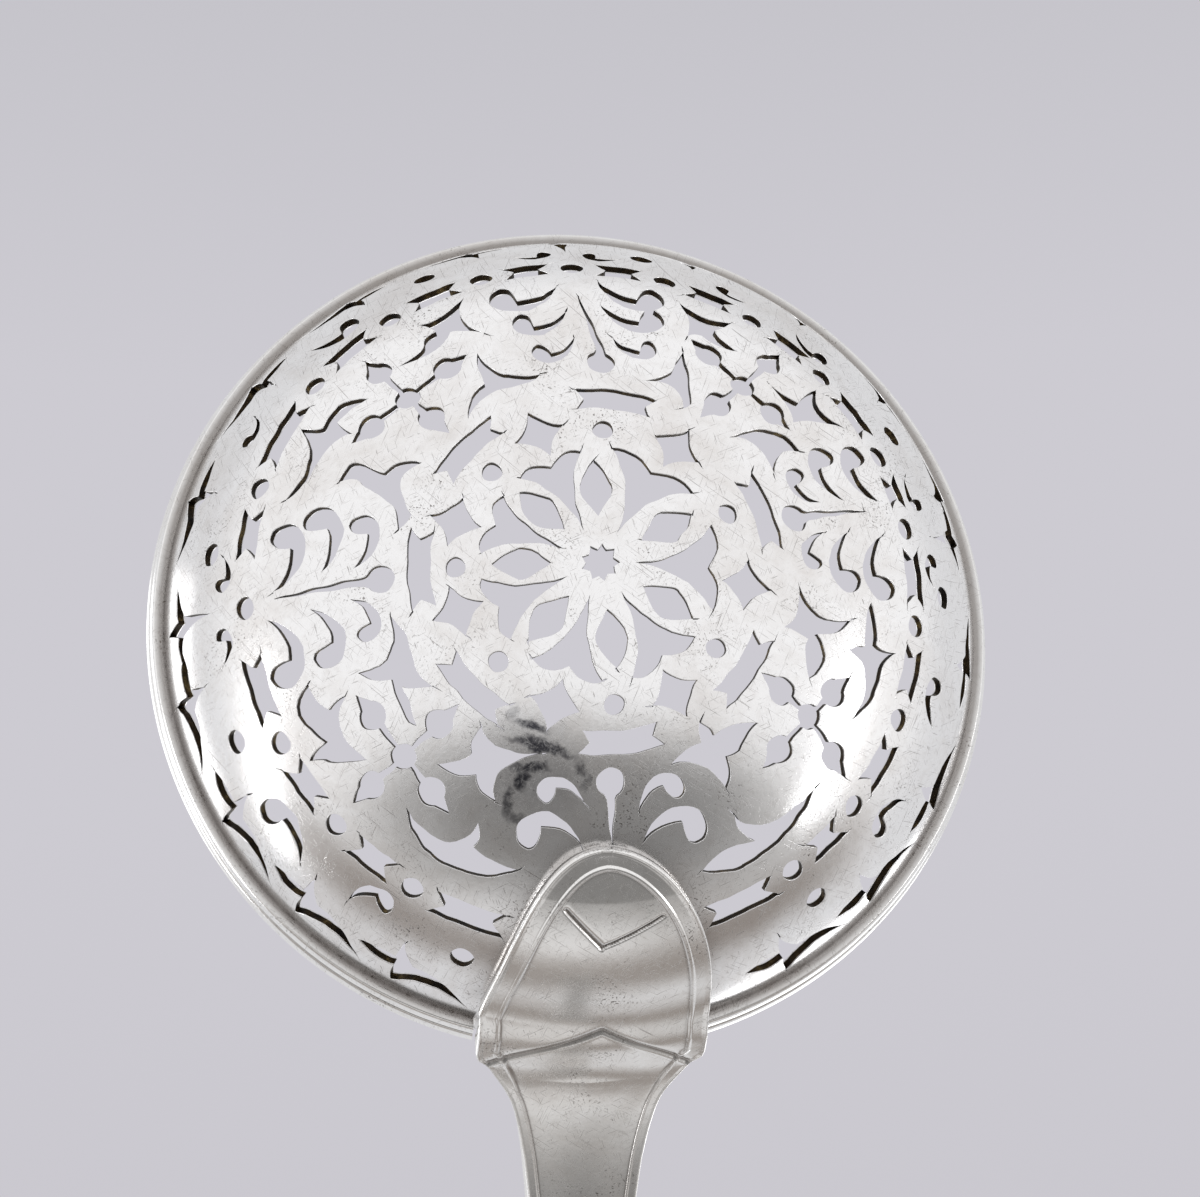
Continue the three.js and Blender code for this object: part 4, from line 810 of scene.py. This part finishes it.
def paint_shade(mesh, amounts):
    """Gives a mesh's corners their share of the painted shade, which darkens seams, grooves and cuts."""
    layer = mesh.attributes.new("painted_shade", "FLOAT", "POINT")
    layer.data.foreach_set("value", np.ascontiguousarray(amounts, dtype=np.float32))


bowl_mesh.materials.append(
    worn_silver("bowl_silver", (0.95, 0.945, 0.95, 1), (0.66, 0.615, 0.58, 1), 0.19, 0.55, 0.62, bowl_reflection)
)
bowl_mesh.materials.append(sawn_wall())
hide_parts("bowl")
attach(bowl, "root")
silver_only.objects.link(bowl)

# The rim wire: a flat silver wire drawn with two reeds, bent round the lip and soldered to it.
# It stops on both sides of the handle's tongue.
WIRE_BAND = 2.5
WIRE_THICKNESS = 0.4
GROOVE_FLOOR = 0.82
REED_RELIEF = 0.24
WIRE_FLARE = 0.18
SOLDER_SEAT = 0.3


def on_wire(share, lift):
    """Radius and height of a point of the wire's section, from its inner edge to the lip."""
    radius, height, slope = skin(LIP_ARC - WIRE_BAND * (1 - share))
    return radius + lift * np.sin(slope), height - lift * np.cos(slope)


# The wire's section: places from its inner edge to the lip, and how far each stands off the bowl.
face = [(0, 0.0), (0, 0.12), (0.005, 0.35)]
for s in np.linspace(0.02, 0.98, 45):
    reed = abs(np.sin(2 * np.pi * s)) ** 0.5
    crest = (REED_RELIEF + (1 - GROOVE_FLOOR) * WIRE_THICKNESS) * reed
    face.append((s, SOLDER_SEAT + WIRE_THICKNESS * GROOVE_FLOOR + crest + WIRE_FLARE * s**1.5))
face += [(0.995, 0.35), (1, 0.12), (1, 0.0), (0.66, 0.0), (0.33, 0.0)]
section = np.array([on_wire(s, lift) for s, lift in face])
turns = np.linspace(0, 1, 361)
stop = np.degrees(np.arcsin((TONGUE_HALF_WIDTH + 0.05) / section[:, 0]))
wire_points = []
for t in turns:
    angle = np.radians(HANDLE_BEARING + stop + (360 - 2 * stop) * t)
    wire_points.append(np.stack([
        -section[:, 0] * np.cos(angle), section[:, 0] * np.sin(angle) + BOWL_AXIS_Y, section[:, 1],
    ], -1))


def lengthwise(rows, around):
    """The faces between one row of points and the next, round a closed section."""
    return [
        (i * around + j, i * around + k, (i + 1) * around + k, (i + 1) * around + j)
        for i in range(rows - 1) for j in range(around) for k in [(j + 1) % around]
    ]


around = len(section)
polygons = lengthwise(len(turns), around)
last = (len(turns) - 1) * around
polygons.append(tuple(range(around - 1, -1, -1)))
polygons.append(tuple(range(last, last + around)))
wire_mesh = bpy.data.meshes.new("reeded_wire")
wire_mesh.from_pydata((np.concatenate(wire_points) * MM).tolist(), [], polygons)


def dressed(mesh, sharp):
    """Smooth faces that turn sharp only at an edge steeper than the given angle, facing outwards."""
    made = bmesh.new()
    made.from_mesh(mesh)
    bmesh.ops.recalc_face_normals(made, faces=made.faces)
    made.to_mesh(mesh)
    made.free()
    mesh.polygons.foreach_set("use_smooth", [True] * len(mesh.polygons))
    mesh.set_sharp_from_angle(angle=np.radians(sharp))


dressed(wire_mesh, 50)

# Painted shade lies in the groove between the reeds and along the wire's inner edge.
across = np.array([share for share, _ in face])
shade_amount = 0.6 * np.exp(-(((across - 0.5) / 0.04) ** 2)) + 0.7 * np.exp(-((across / 0.02) ** 2))
paint_shade(wire_mesh, np.tile(np.clip(shade_amount, 0, 0.9), len(turns)))
wire = bpy.data.objects.new("reeded_wire", wire_mesh)
scene.collection.objects.link(wire)
wire_mesh.materials.append(
    worn_silver("wire_silver", (0.95, 0.945, 0.94, 1), (0.74, 0.70, 0.66, 1), 0.18, 0.4, 0.3)
)
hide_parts("rim_wire")
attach(wire, "root")
silver_only.objects.link(wire)

# The handle: one forging. A threaded tongue lies soldered on the bowl's back, a neck bends out of
# it over the lip, and an arched stem widens to a threaded fiddle end.
OVERALL_LENGTH = 212.0
TONGUE_THICKNESS = 1.5
TONGUE_LEAN = 2.35
TONGUE_ROUNDING = 0.93
SEAT_SINK = 0.02
SEAT_FADE = 0.25
NECK_FILLET = 5.0
NECK_RISE = np.radians(36)
NECK_THICKNESS = 4.2
SHOULDER_HALF_WIDTH = 8.0
SHOULDER_FLARE = 4.9
FLARE_LENGTH = 5.2
NECK_SHIFT = 0.3
STEM_HALF_WIDTH = 3.25
STEM_WIDENING = 0.6
STEM_THICKNESS = 3.2
STOUT_LENGTH = 12.0
ARCH_LEAD = 46.0
TIP_LEAD = 52.0
TIP_SLOPE = np.radians(14)
FIDDLE_LENGTH = 52.0
FIDDLE_SHOULDER_LENGTH = 3.5
FIDDLE_SHOULDER_HALF_WIDTH = 8.3
FIDDLE_END_HALF_WIDTH = 11.6
FIDDLE_THICKNESS = 2.4
ROUND_START = 0.78
CROWN = 0.12
WIRE_REACH = OVERALL_LENGTH / 2 - BOWL_AXIS_Y
tip_half = FIDDLE_THICKNESS * (0.5 + CROWN)
stem_length = OVERALL_LENGTH - 2 * WIRE_REACH - tip_half * np.sin(TIP_SLOPE)
BEND_BEFORE_LIP = 2.2
last_arc = LIP_ARC - NECK_THICKNESS - BEND_BEFORE_LIP


def tongue_half_width(arc):
    """Round at the tip, then nearly straight to the lip."""
    share = (arc - tongue_tip_arc) / (LIP_ARC - tongue_tip_arc)
    return max(TONGUE_HALF_WIDTH * np.sqrt(1 - (1 - min(share / TONGUE_ROUNDING, 1)) ** 2), 0.25)


def stem_half_width(run):
    """Flared at the neck, slender along the stem, and wide from the fiddle's shoulders to its end."""
    fiddle_start = stem_length - FIDDLE_LENGTH
    if run <= fiddle_start:
        flare = SHOULDER_FLARE * np.exp(-run / FLARE_LENGTH)
        return STEM_HALF_WIDTH + flare + STEM_WIDENING * max(0, run / fiddle_start - 0.4)
    share = (run - fiddle_start) / FIDDLE_LENGTH
    shoulder = min(1, share * FIDDLE_LENGTH / FIDDLE_SHOULDER_LENGTH)
    widening = min(1, share / 0.76)
    body = FIDDLE_SHOULDER_HALF_WIDTH + (FIDDLE_END_HALF_WIDTH - FIDDLE_SHOULDER_HALF_WIDTH) * widening**1.3
    neck = STEM_HALF_WIDTH + STEM_WIDENING * 0.6
    side = neck + (body - neck) * np.sin(shoulder * np.pi / 2)
    past = max(0, share - ROUND_START) / (1 - ROUND_START)
    return max(side * np.sqrt(max(0, 1 - past**2)), 0.3)


def stem_thickness(run):
    """Stout at the neck, thinner towards the tip."""
    share = max(0, (run / stem_length - 0.3) / 0.7)
    slim = STEM_THICKNESS + (FIDDLE_THICKNESS - STEM_THICKNESS) * share
    return slim + (NECK_THICKNESS - STEM_THICKNESS) * np.exp(-run / STOUT_LENGTH)


# The stations of the forging give its half width, its thickness, whether the upper face is threaded
# and where a point lies that is x across and depth down from the upper face.
def tongue_station(arc):
    """A station on the bowl's back, which leans a little to one side up the tongue."""
    half_width = tongue_half_width(arc)
    thickness = TONGUE_THICKNESS * (0.6 + 0.4 * min(1, half_width / (0.6 * TONGUE_HALF_WIDTH)))
    girth = float(skin(arc)[0])
    up_tongue = (last_arc - arc) / (last_arc - tongue_tip_arc)
    lean = TONGUE_LEAN * up_tongue * (1.04 - up_tongue)

    def place(x, depth):
        seat = SOLDER_SEAT * np.clip(depth / SEAT_FADE, 0, 1) - SEAT_SINK
        return on_back(np.full_like(x, arc), HANDLE_BEARING - np.degrees((x - lean) / girth), seat + depth)

    return half_width, thickness, False, place


start_z = float(on_back(last_arc, HANDLE_BEARING, SOLDER_SEAT)[2])
lip_height = float(skin(LIP_ARC)[1])
centre_y = -BOWL_RADIUS - SOLDER_SEAT - TONGUE_THICKNESS - NECK_FILLET
last_turn = np.pi / 2 - NECK_RISE
lip_turn = np.arctan2(lip_height - start_z, TONGUE_THICKNESS + NECK_FILLET)
end_run = -WIRE_REACH - centre_y - (NECK_FILLET + NECK_THICKNESS / 2) * np.cos(last_turn)


def neck_station(turn):
    """A station where the neck turns out of the tongue and over the lip."""
    thickness = min((TONGUE_THICKNESS + NECK_FILLET) / np.cos(turn) - NECK_FILLET, NECK_THICKNESS)
    t = np.clip((turn - 0.5 * lip_turn) / (0.5 * lip_turn), 0, 1)
    past_lip = np.clip((turn - lip_turn) / (last_turn - lip_turn), 0, 1)
    shoulder = TONGUE_HALF_WIDTH + (SHOULDER_HALF_WIDTH - TONGUE_HALF_WIDTH) * t * t * (3 - 2 * t)
    half_width = shoulder + (stem_half_width(end_run) - shoulder) * past_lip

    def place(x, depth):
        reach = NECK_FILLET + thickness - depth
        wrap = (BOWL_RADIUS - np.sqrt(BOWL_RADIUS**2 - x**2)) * max(0, 1 - turn / lip_turn)
        return np.stack([x, centre_y + reach * np.cos(turn) + wrap, start_z + reach * np.sin(turn)], -1)

    return half_width, thickness, turn > lip_turn, place


def seam_station(t):
    """Between the last station on the bowl and the first of the neck."""
    half_width, thickness, _, low = tongue_station(last_arc)
    high = neck_station(0)[3]
    return half_width, thickness, False, lambda x, depth: (1 - t) * low(x, depth) + t * high(x, depth)


reach = NECK_FILLET + NECK_THICKNESS / 2
start_point = np.array([centre_y + reach * np.cos(last_turn), start_z + reach * np.sin(last_turn)])
tip_point = np.array([-WIRE_REACH - stem_length, tip_half * np.cos(TIP_SLOPE)])
controls = [
    start_point,
    start_point - ARCH_LEAD * np.array([np.cos(NECK_RISE), -np.sin(NECK_RISE)]),
    tip_point + TIP_LEAD * np.array([np.cos(TIP_SLOPE), np.sin(TIP_SLOPE)]),
    tip_point,
]
t = np.linspace(0, 1, STEPS + 1)[:, None]
weights = [(1 - t) ** 3, 3 * t * (1 - t) ** 2, 3 * t * t * (1 - t), t**3]
arch = sum(weight * control for weight, control in zip(weights, controls))
heading = np.gradient(arch, axis=0)
heading /= np.linalg.norm(heading, axis=1)[:, None]
start_run = -WIRE_REACH - start_point[0]


def stem_station(share):
    """A station on the arched stem or the fiddle end."""
    run = start_run + (stem_length - start_run) * share
    y = -WIRE_REACH - run
    middle = np.interp(-y, -arch[:, 0], arch[:, 1])
    ahead = [np.interp(-y, -arch[:, 0], heading[:, k]) for k in (0, 1)]
    thickness = stem_thickness(run)

    def place(x, depth):
        lift = thickness * 0.5 - depth
        return np.stack([x, y + ahead[1] * lift, middle - ahead[0] * lift], -1)

    return stem_half_width(run), thickness, True, place


fiddle_start = (stem_length - FIDDLE_LENGTH) / stem_length
round_start = fiddle_start + (1 - fiddle_start) * ROUND_START
stem_shares = np.concatenate([
    np.linspace(0, 1, 91)[1:] ** 1.25 * (fiddle_start - 0.004),
    np.linspace(fiddle_start - 0.003, fiddle_start + 0.03, 30),
    np.linspace(fiddle_start + 0.03, round_start, 40)[1:],
    round_start + (1 - round_start) * np.sin(np.linspace(0, np.pi / 2, 71))[1:],
])
tongue_arcs = tongue_tip_arc + (last_arc - tongue_tip_arc) * np.linspace(0, 1, 190) ** 1.35
stations = [tongue_station(arc) for arc in tongue_arcs]
stations += [seam_station(t) for t in np.linspace(0, 1, 18)[1:]]
stations += [neck_station(last_turn * t) for t in np.linspace(0, 1, 71)[1:]]
stations += [stem_station(share) for share in stem_shares]

# How far each station is along the back, the neck's own widths, and the outline that the thread
# follows.
spine = np.array([place(np.zeros(1), np.full(1, thickness))[0] for _, thickness, _, place in stations])
along = np.concatenate([[0], np.cumsum(np.linalg.norm(np.diff(spine, axis=0), axis=1))])
neck_widths = [
    (18.8, 9.1), (20.4, 9.1), (20.9, 8.95), (21.25, 8.4), (21.6, 7.98), (22.4, 7.38), (23.3, 6.7), (24.2, 6.15),
    (25.2, 5.74), (27.3, 5.22), (30, 4.74), (33.3, 4.36), (37, 4.02), (41, 3.72), (45, 3.48), (49, 3.33),
]
NECK_FROM, NECK_TO = 16.9, 49
widths = np.array([station[0] for station in stations])
on_neck = (along > NECK_FROM) & (along < NECK_TO)
widths[on_neck] = np.interp(along[on_neck], *zip((NECK_FROM, widths[along < NECK_FROM][-1]), *neck_widths))
fine = np.arange(0, along[-1], 0.05)
fine_widths = np.interp(fine, along, widths)
outline = [(side * w, u) for u, w in zip(fine, fine_widths) for side in (-1, 1)]
outline += [(x, along[0]) for x in np.linspace(-widths[0], widths[0], 11)]
outline += [(x, along[-1]) for x in np.linspace(-widths[-1], widths[-1], 13)]
edges = KDTree(len(outline))
for i, (x, u) in enumerate(outline):
    edges.insert((x, u, 0), i)
edges.balance()

# The thread along the edges: a fine bead, a hollow band and a second fine bead.
THREAD_BAND = 1.95
thread_places = np.array([0, 0.06, 0.18, 0.34, 0.56, 1.3, 1.5, 1.62, 1.8, THREAD_BAND])
thread_depths = np.array([0.36, 0.12, 0.0, 0.06, 0.10, 0.10, 0.0, 0.0, 0.13, 0.13])
CREASE_AT = 21.3
NECK_THREAD = 0.55


def thread_size(u):
    """The thread is widest on the tongue, narrow on the neck, and wider again on the fiddle end."""
    places = [CREASE_AT - 1.5, CREASE_AT + 2.5, CREASE_AT + 60, along[-1] - 40]
    return float(np.interp(u, places, [1, NECK_THREAD, NECK_THREAD, 0.9]))


def eased(places, depths, at):
    """Depths eased between their places, so that beads and grooves are round."""
    k = np.clip(np.searchsorted(places, at, side="right") - 1, 0, len(places) - 2)
    t = np.clip((at - places[k]) / (places[k + 1] - places[k]), 0, 1)
    t = t * t * (3 - 2 * t)
    return depths[k] + (depths[k + 1] - depths[k]) * t


CREASE_APEX = (-0.49, 16.95)
CREASE_FALL = (0.519, 0.636)
CREASE_DEPTH, CREASE_RIDGE = 0.16, 0.08
CHEVRON_APEX = (0.69, 8.2)
CHEVRON_ARMS = ((1.127, 3.6, 0.15), (0.479, 5.5, 0.10))
CHEVRON_DEPTH = 0.22


def crease(x, u):
    """The step in the shape of an inverted V, where the tongue ends and the neck begins."""
    across = x - CREASE_APEX[0]
    below = u - CREASE_APEX[1] - np.where(across > 0, CREASE_FALL[0], CREASE_FALL[1]) * np.abs(across)
    step = CREASE_DEPTH * np.exp(-((below + 0.34) / 0.28) ** 2)
    return step - CREASE_RIDGE * np.exp(-(below / 0.13) ** 2)


def chevron(x, u):
    """The V in the tongue's field, cut with a slanted graver: deep on one arm, fine on the other."""
    depth = np.zeros_like(x)
    for side, (fall, length, width) in zip((1, -1), CHEVRON_ARMS):
        out = side * (x - CHEVRON_APEX[0])
        off = (u - CHEVRON_APEX[1] + fall * out) / np.hypot(1, fall)
        bevel = np.where(off < 0, np.exp(-(off / (width * 1.9)) ** 2), np.exp(-(off / (width * 0.6)) ** 2))
        depth = np.maximum(depth, CHEVRON_DEPTH * bevel * (out > -0.1) * np.clip((length - out) / 0.7, 0, 1))
    return depth


# The back without its ornament, eased where the tongue leaves the bowl, and the way out of it.
columns = []
for u, half_width in zip(along, widths):
    band_width = min(THREAD_BAND * thread_size(u), 0.55 * half_width)
    band = np.linspace(0, band_width, 34)
    field = np.linspace(band_width - half_width, half_width - band_width, 90)[1:-1]
    columns.append(np.concatenate([band - half_width, field, half_width - band[::-1]]))
bare, under = (
    np.array([place(x, np.full_like(x, t - inset)) for x, (_, t, _, place) in zip(columns, stations)])
    for inset in (0, 0.2)
)
outward = (bare - under) / np.linalg.norm(bare - under, axis=2)[:, :, None]
EASE_FROM, EASE_TO = 10.5, 30
lengths = np.gradient(along)
eased_bare, eased_outward = bare.copy(), outward.copy()
for i in np.flatnonzero((along > EASE_FROM) & (along < EASE_TO)):
    reach = float(np.interp(along[i], [EASE_FROM, 14, 25, EASE_TO], [0.05, 1.5, 1.5, 0.1]))
    weight = lengths * np.exp(-0.5 * ((along - along[i]) / reach) ** 2)
    weight /= weight.sum()
    eased_bare[i, :, 1:] = np.einsum("i,ijk->jk", weight, bare[:, :, 1:])
    eased_outward[i] = np.einsum("i,ijk->jk", weight, outward)
eased_outward /= np.linalg.norm(eased_outward, axis=2)[:, :, None]

# Each section in full: the thread, the crowned field and the cuts on the back, and the upper face.
sections = []
shade_rows = []
for i, (u, x, half_width, station) in enumerate(zip(along, columns, widths, stations)):
    _, thickness, threaded_top, place = station
    size = thread_size(u)
    band_width = THREAD_BAND * size
    inwards = np.array([edges.find((a, u, 0))[2] for a in x])
    inwards[0] = inwards[-1] = 0
    inner = np.clip((inwards - band_width) / max(half_width - band_width, 0.5), 0, 1)
    field_rise = -CROWN * thickness * np.sin(inner * np.pi / 2) ** 1.2 * 0.9
    thread = eased(thread_places * size, thread_depths * (0.35 + 0.65 * size), np.minimum(inwards, band_width))
    plain = 0.3 * np.clip(1 - inwards / 0.4, 0, 1) ** 2
    quiet = np.clip((inwards - band_width) / 0.3, 0, 1)
    cuts = chevron(x, u) * quiet + crease(x, u) * np.clip(inwards / 0.5, 0, 1)
    sunk = (thread + field_rise + cuts)[:, None]
    back = eased_bare[i] - eased_outward[i] * sunk
    top = place(x, (thread if threaded_top else plain) + field_rise)
    section = np.concatenate([top, back[::-1]])
    section[:, 0] += np.interp(u, [19, 24, NECK_TO, 90], [0, NECK_SHIFT, NECK_SHIFT, 0])
    sections.append(section)
    # Painted shade in the thread's inner groove and in the chevron and crease cuts.
    groove = np.exp(-((inwards / size - 1.78) / 0.13) ** 2) * (0.35 if u < CREASE_AT else 0.6)
    shade_amount = np.clip(np.maximum(np.clip(cuts, 0, 1) * 3.8, groove), 0, 0.85)
    shade_rows.append(np.concatenate([shade_amount * threaded_top, shade_amount[::-1]]))

around = len(sections[0])
polygons = lengthwise(len(sections), around)
last = (len(sections) - 1) * around
for first, order in ((0, 1), (last, -1)):
    for j in range(around // 2 - 1):
        quad = (first + j, first + j + 1, first + around - 2 - j, first + around - 1 - j)
        polygons.append(quad[::order])
handle_mesh = bpy.data.meshes.new("threaded_handle")
handle_points = (np.concatenate(sections) + [0, BOWL_AXIS_Y, 0]) * MM
handle_mesh.from_pydata(handle_points.tolist(), [], polygons)
dressed(handle_mesh, 62)
paint_shade(handle_mesh, np.concatenate(shade_rows))
handle = bpy.data.objects.new("threaded_handle", handle_mesh)
scene.collection.objects.link(handle)
handle_mesh.materials.append(
    worn_silver("handle_silver", (0.92, 0.91, 0.90, 1), (0.70, 0.66, 0.62, 1), 0.19, 0.5, 0.32)
)
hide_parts("handle")
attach(handle, "root")
silver_only.objects.link(handle)

# The seams: silver solder holds the tongue and the wire to the bowl. Beside them the bowl gets
# painted shade, darkest in the corners.
seam = KDTree(len(sections) * 2 + len(wire_points))
for i, section in enumerate(sections):
    for side in (0, around // 2 - 1):
        seam.insert(Vector(section[side] + [0, BOWL_AXIS_Y, 0]), i)
for turn_points in wire_points:
    seam.insert(Vector(turn_points[0]), 0)
seam.balance()
gaps = np.array([seam.find(vertex.co / MM)[2] for vertex in bowl_mesh.vertices])
paint_shade(bowl_mesh, 0.75 * np.exp(-gaps / 0.45) + 0.18 * np.exp(-gaps / 1.8))
